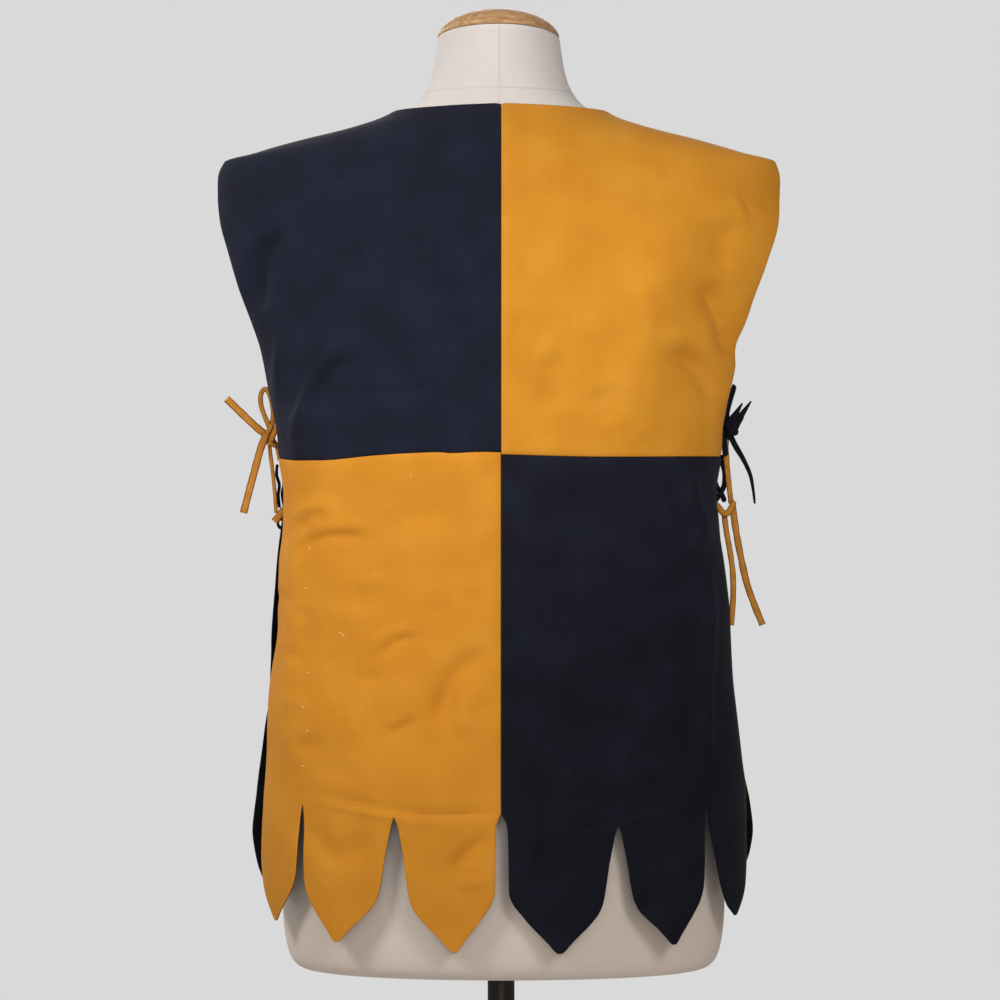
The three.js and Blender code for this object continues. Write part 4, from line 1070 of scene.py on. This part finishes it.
quarters['frontLowerLeft'] = {
    'dye': 'navy', 'cut': (0.3, 0.455), 'area': 0.115,
    'slots': [(0, 841), (0.365, 843), (0.685, 836), (1, 838)],
    'tips': [(719, 0.5), (727, 0.47), (741, 0.5)],
    'flutes': [(-2.0, 22, -30), (2.4, 24, -76), (-2.2, 22, -122), (2.0, 24, -168)],
    'folds': [
        (3.1, 9, [(-160, 1152), (-170, 1112), (-178, 1072), (-160, 1050)]),
        (-2.4, 8, [(-146, 1150), (-150, 1106), (-160, 1066)]),
        (1.9, 7, [(-60, 1010), (-84, 1004), (-104, 1008)]),
        (-2.0, 8, [(-96, 930), (-112, 938), (-132, 934)]),
        (-2.2, 7, [(-40, 908), (-42, 856), (-34, 806)]),
        (-0.7, 3, [(-10, 842), (-80, 845), (-150, 838), (-196, 840)]),
        (-1.7, 10, [(-146, 776), (-128, 772), (-110, 776)])
    ]}
quarters['frontLowerRight'] = {
    'dye': 'yellow', 'rim': 1, 'cut': (0.3, 0.455), 'area': 0.115,
    'slots': [(0, 841), (0.35, 836), (0.68, 844), (1, 846)],
    'tips': [(722, 0.53), (716, 0.48), (750, 0.5)],
    'flutes': [(2.0, 22, 26), (-2.2, 22, 70), (2.3, 24, 116), (-1.8, 22, 160)],
    'folds': [
        (-3.1, 8, [(188, 1072), (170, 1088), (150, 1094), (108, 1090)]),
        (2.5, 12, [(176, 1120), (160, 1108), (140, 1104)]),
        (-2.5, 8, [(116, 958), (102, 984), (70, 1002)]),
        (-2.7, 8, [(64, 912), (42, 956), (20, 984)]),
        (1.9, 9, [(54, 900), (32, 942), (14, 966)]),
        (-0.7, 3, [(10, 842), (80, 840), (150, 845), (196, 846)]),
        (-2.0, 7, [(50, 782), (28, 806), (10, 826)]),
        (1.7, 12, [(170, 826), (146, 800), (120, 824)])
    ]}
sheets = {name: clothPiece(name, quarter) for name, quarter in quarters.items()}
print('cloth made')

# tacking threads left in the yellow quarter: a row beside the edge, a crossed pair and one near the
# seam, each (x, z, slant) in mm and degrees
tacks = {
    'thick': 0.42, 'long': 2.1, 'sunk': 0.2, 'tones': ('#dcbf7e', '#f0d79c'),
    'at': [(-174.6, 1078.8, 40), (-177.8, 1042.6, -70), (-145.6, 1002.4, 52), (-142.6, 1000.4, 52),
           (-175.4, 965.6, 62), (-179.6, 934.8, 75), (-175.4, 913.6, -64), (-179.4, 881.4, 70),
           (-81, 1145.4, 8)]
}
thread, tree, surface = newMaterial('palePolishedThread', Roughness=0.6, Sheen_Weight=0.1)
twist = addNode(tree, 'TexWave', {'Scale': waveTurn / (0.5 * mm), 'Distortion': 0.4},
                {'Vector': addNode(tree, 'TexCoord').outputs['Object']},
                wave_type='BANDS', bands_direction='DIAGONAL').outputs['Fac']
tint = addNode(tree, 'MixRGB', dict(zip(('Color1', 'Color2'), map(rgb, tacks['tones']))), {'Fac': twist})
tree.links.new(tint.outputs[0], surface.inputs['Base Color'])
bpy.ops.mesh.primitive_uv_sphere_add(segments=12, ring_count=8, radius=mm)
threads = bpy.context.object
threads.name = 'tackingThreads'
bpy.ops.object.mode_set(mode='EDIT')
bpy.ops.mesh.delete(type='VERT')
for x, z, slant in tacks['at']:
    spot = sheets['backLowerLeft'].ray_cast(Vector((x * mm, -1, z * mm)), Vector((0, 1, 0)))[1]
    bpy.ops.mesh.primitive_uv_sphere_add(segments=12, ring_count=8, radius=mm)
    bpy.ops.transform.resize(value=(tacks['thick'], tacks['thick'], tacks['long']))
    bpy.ops.transform.rotate(value=math.radians(slant), orient_axis='Y', center_override=(0, 0, 0))
    bpy.ops.transform.translate(value=spot + Vector((0, -tacks['sunk'] * mm, 0)))
    bpy.ops.mesh.select_all(action='DESELECT')
bpy.ops.object.mode_set(mode='OBJECT')
bpy.ops.object.shade_smooth()
threads.select_set(False)
threads.data.materials.append(thread)
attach(threads, 'root')
print('threads made')

# ---- studio: pale floor, soft light from the upper left, weak fill from the right ----
studio = {
    'floor': 2.3, 'floorTones': ('#d6d5d3', '#d1d0ce'), 'backTone': '#d9d9d9', 'ambient': 0.16,
    'aim': (0, 0, 1.1),
    'lights': [
        {'name': 'keyLight', 'at': (-1.6, -1.4, 2.6), 'size': 0.7, 'watts': 34},
        {'name': 'frontLight', 'at': (0.1, -2.3, 1.45), 'size': 1.6, 'watts': 9},
        {'name': 'fillLight', 'at': (1.2, -2.2, 2.2), 'size': 0.8, 'watts': 25},
        {'name': 'rearLight', 'at': (0, 3.4, 2.1), 'size': 2.2, 'watts': 80},
        {'name': 'sideLight', 'at': (-2, 1.6, 2), 'size': 1, 'watts': 20}
    ]
}
bpy.ops.mesh.primitive_circle_add(vertices=128, radius=studio['floor'], fill_type='NGON')
floor = bpy.context.object
floor.name = 'studioFloor'
floorPaint, tree, surface = newMaterial('mattFloorPaint', Roughness=0.95, Specular_IOR_Level=0.2)
speck = addNode(tree, 'TexNoise', {'Scale': 3, 'Detail': 3},
                {'Vector': addNode(tree, 'TexCoord').outputs['Object']}).outputs['Fac']
tint = addNode(tree, 'MixRGB', dict(zip(('Color1', 'Color2'), map(rgb, studio['floorTones']))),
               {'Fac': speck})
tree.links.new(tint.outputs[0], surface.inputs['Base Color'])
floor.data.materials.append(floorPaint)
for light in studio['lights']:
    bpy.ops.object.light_add(type='AREA', location=light['at'])
    lamp = bpy.context.object
    lamp.name = light['name']
    lamp.data.energy, lamp.data.size = light['watts'], light['size']
    way = Vector(studio['aim']) - Vector(light['at'])
    lamp.rotation_euler = way.to_track_quat('-Z', 'Y').to_euler()
    lamp.visible_camera = False
world = scene.world or bpy.data.worlds.new('studio')
scene.world = world
world.use_nodes = True
tree = world.node_tree
tree.nodes.clear()
seen = addNode(tree, 'Background', {'Color': rgb(studio['backTone']), 'Strength': 1})
lit = addNode(tree, 'Background', {'Color': (1, 1, 1, 1), 'Strength': studio['ambient']})
ray = addNode(tree, 'LightPath')
both = addNode(tree, 'MixShader', None,
               {0: ray.outputs['Is Camera Ray'], 1: lit.outputs[0], 2: seen.outputs[0]})
tree.links.new(both.outputs[0], addNode(tree, 'OutputWorld').inputs[0])
print('studio made')
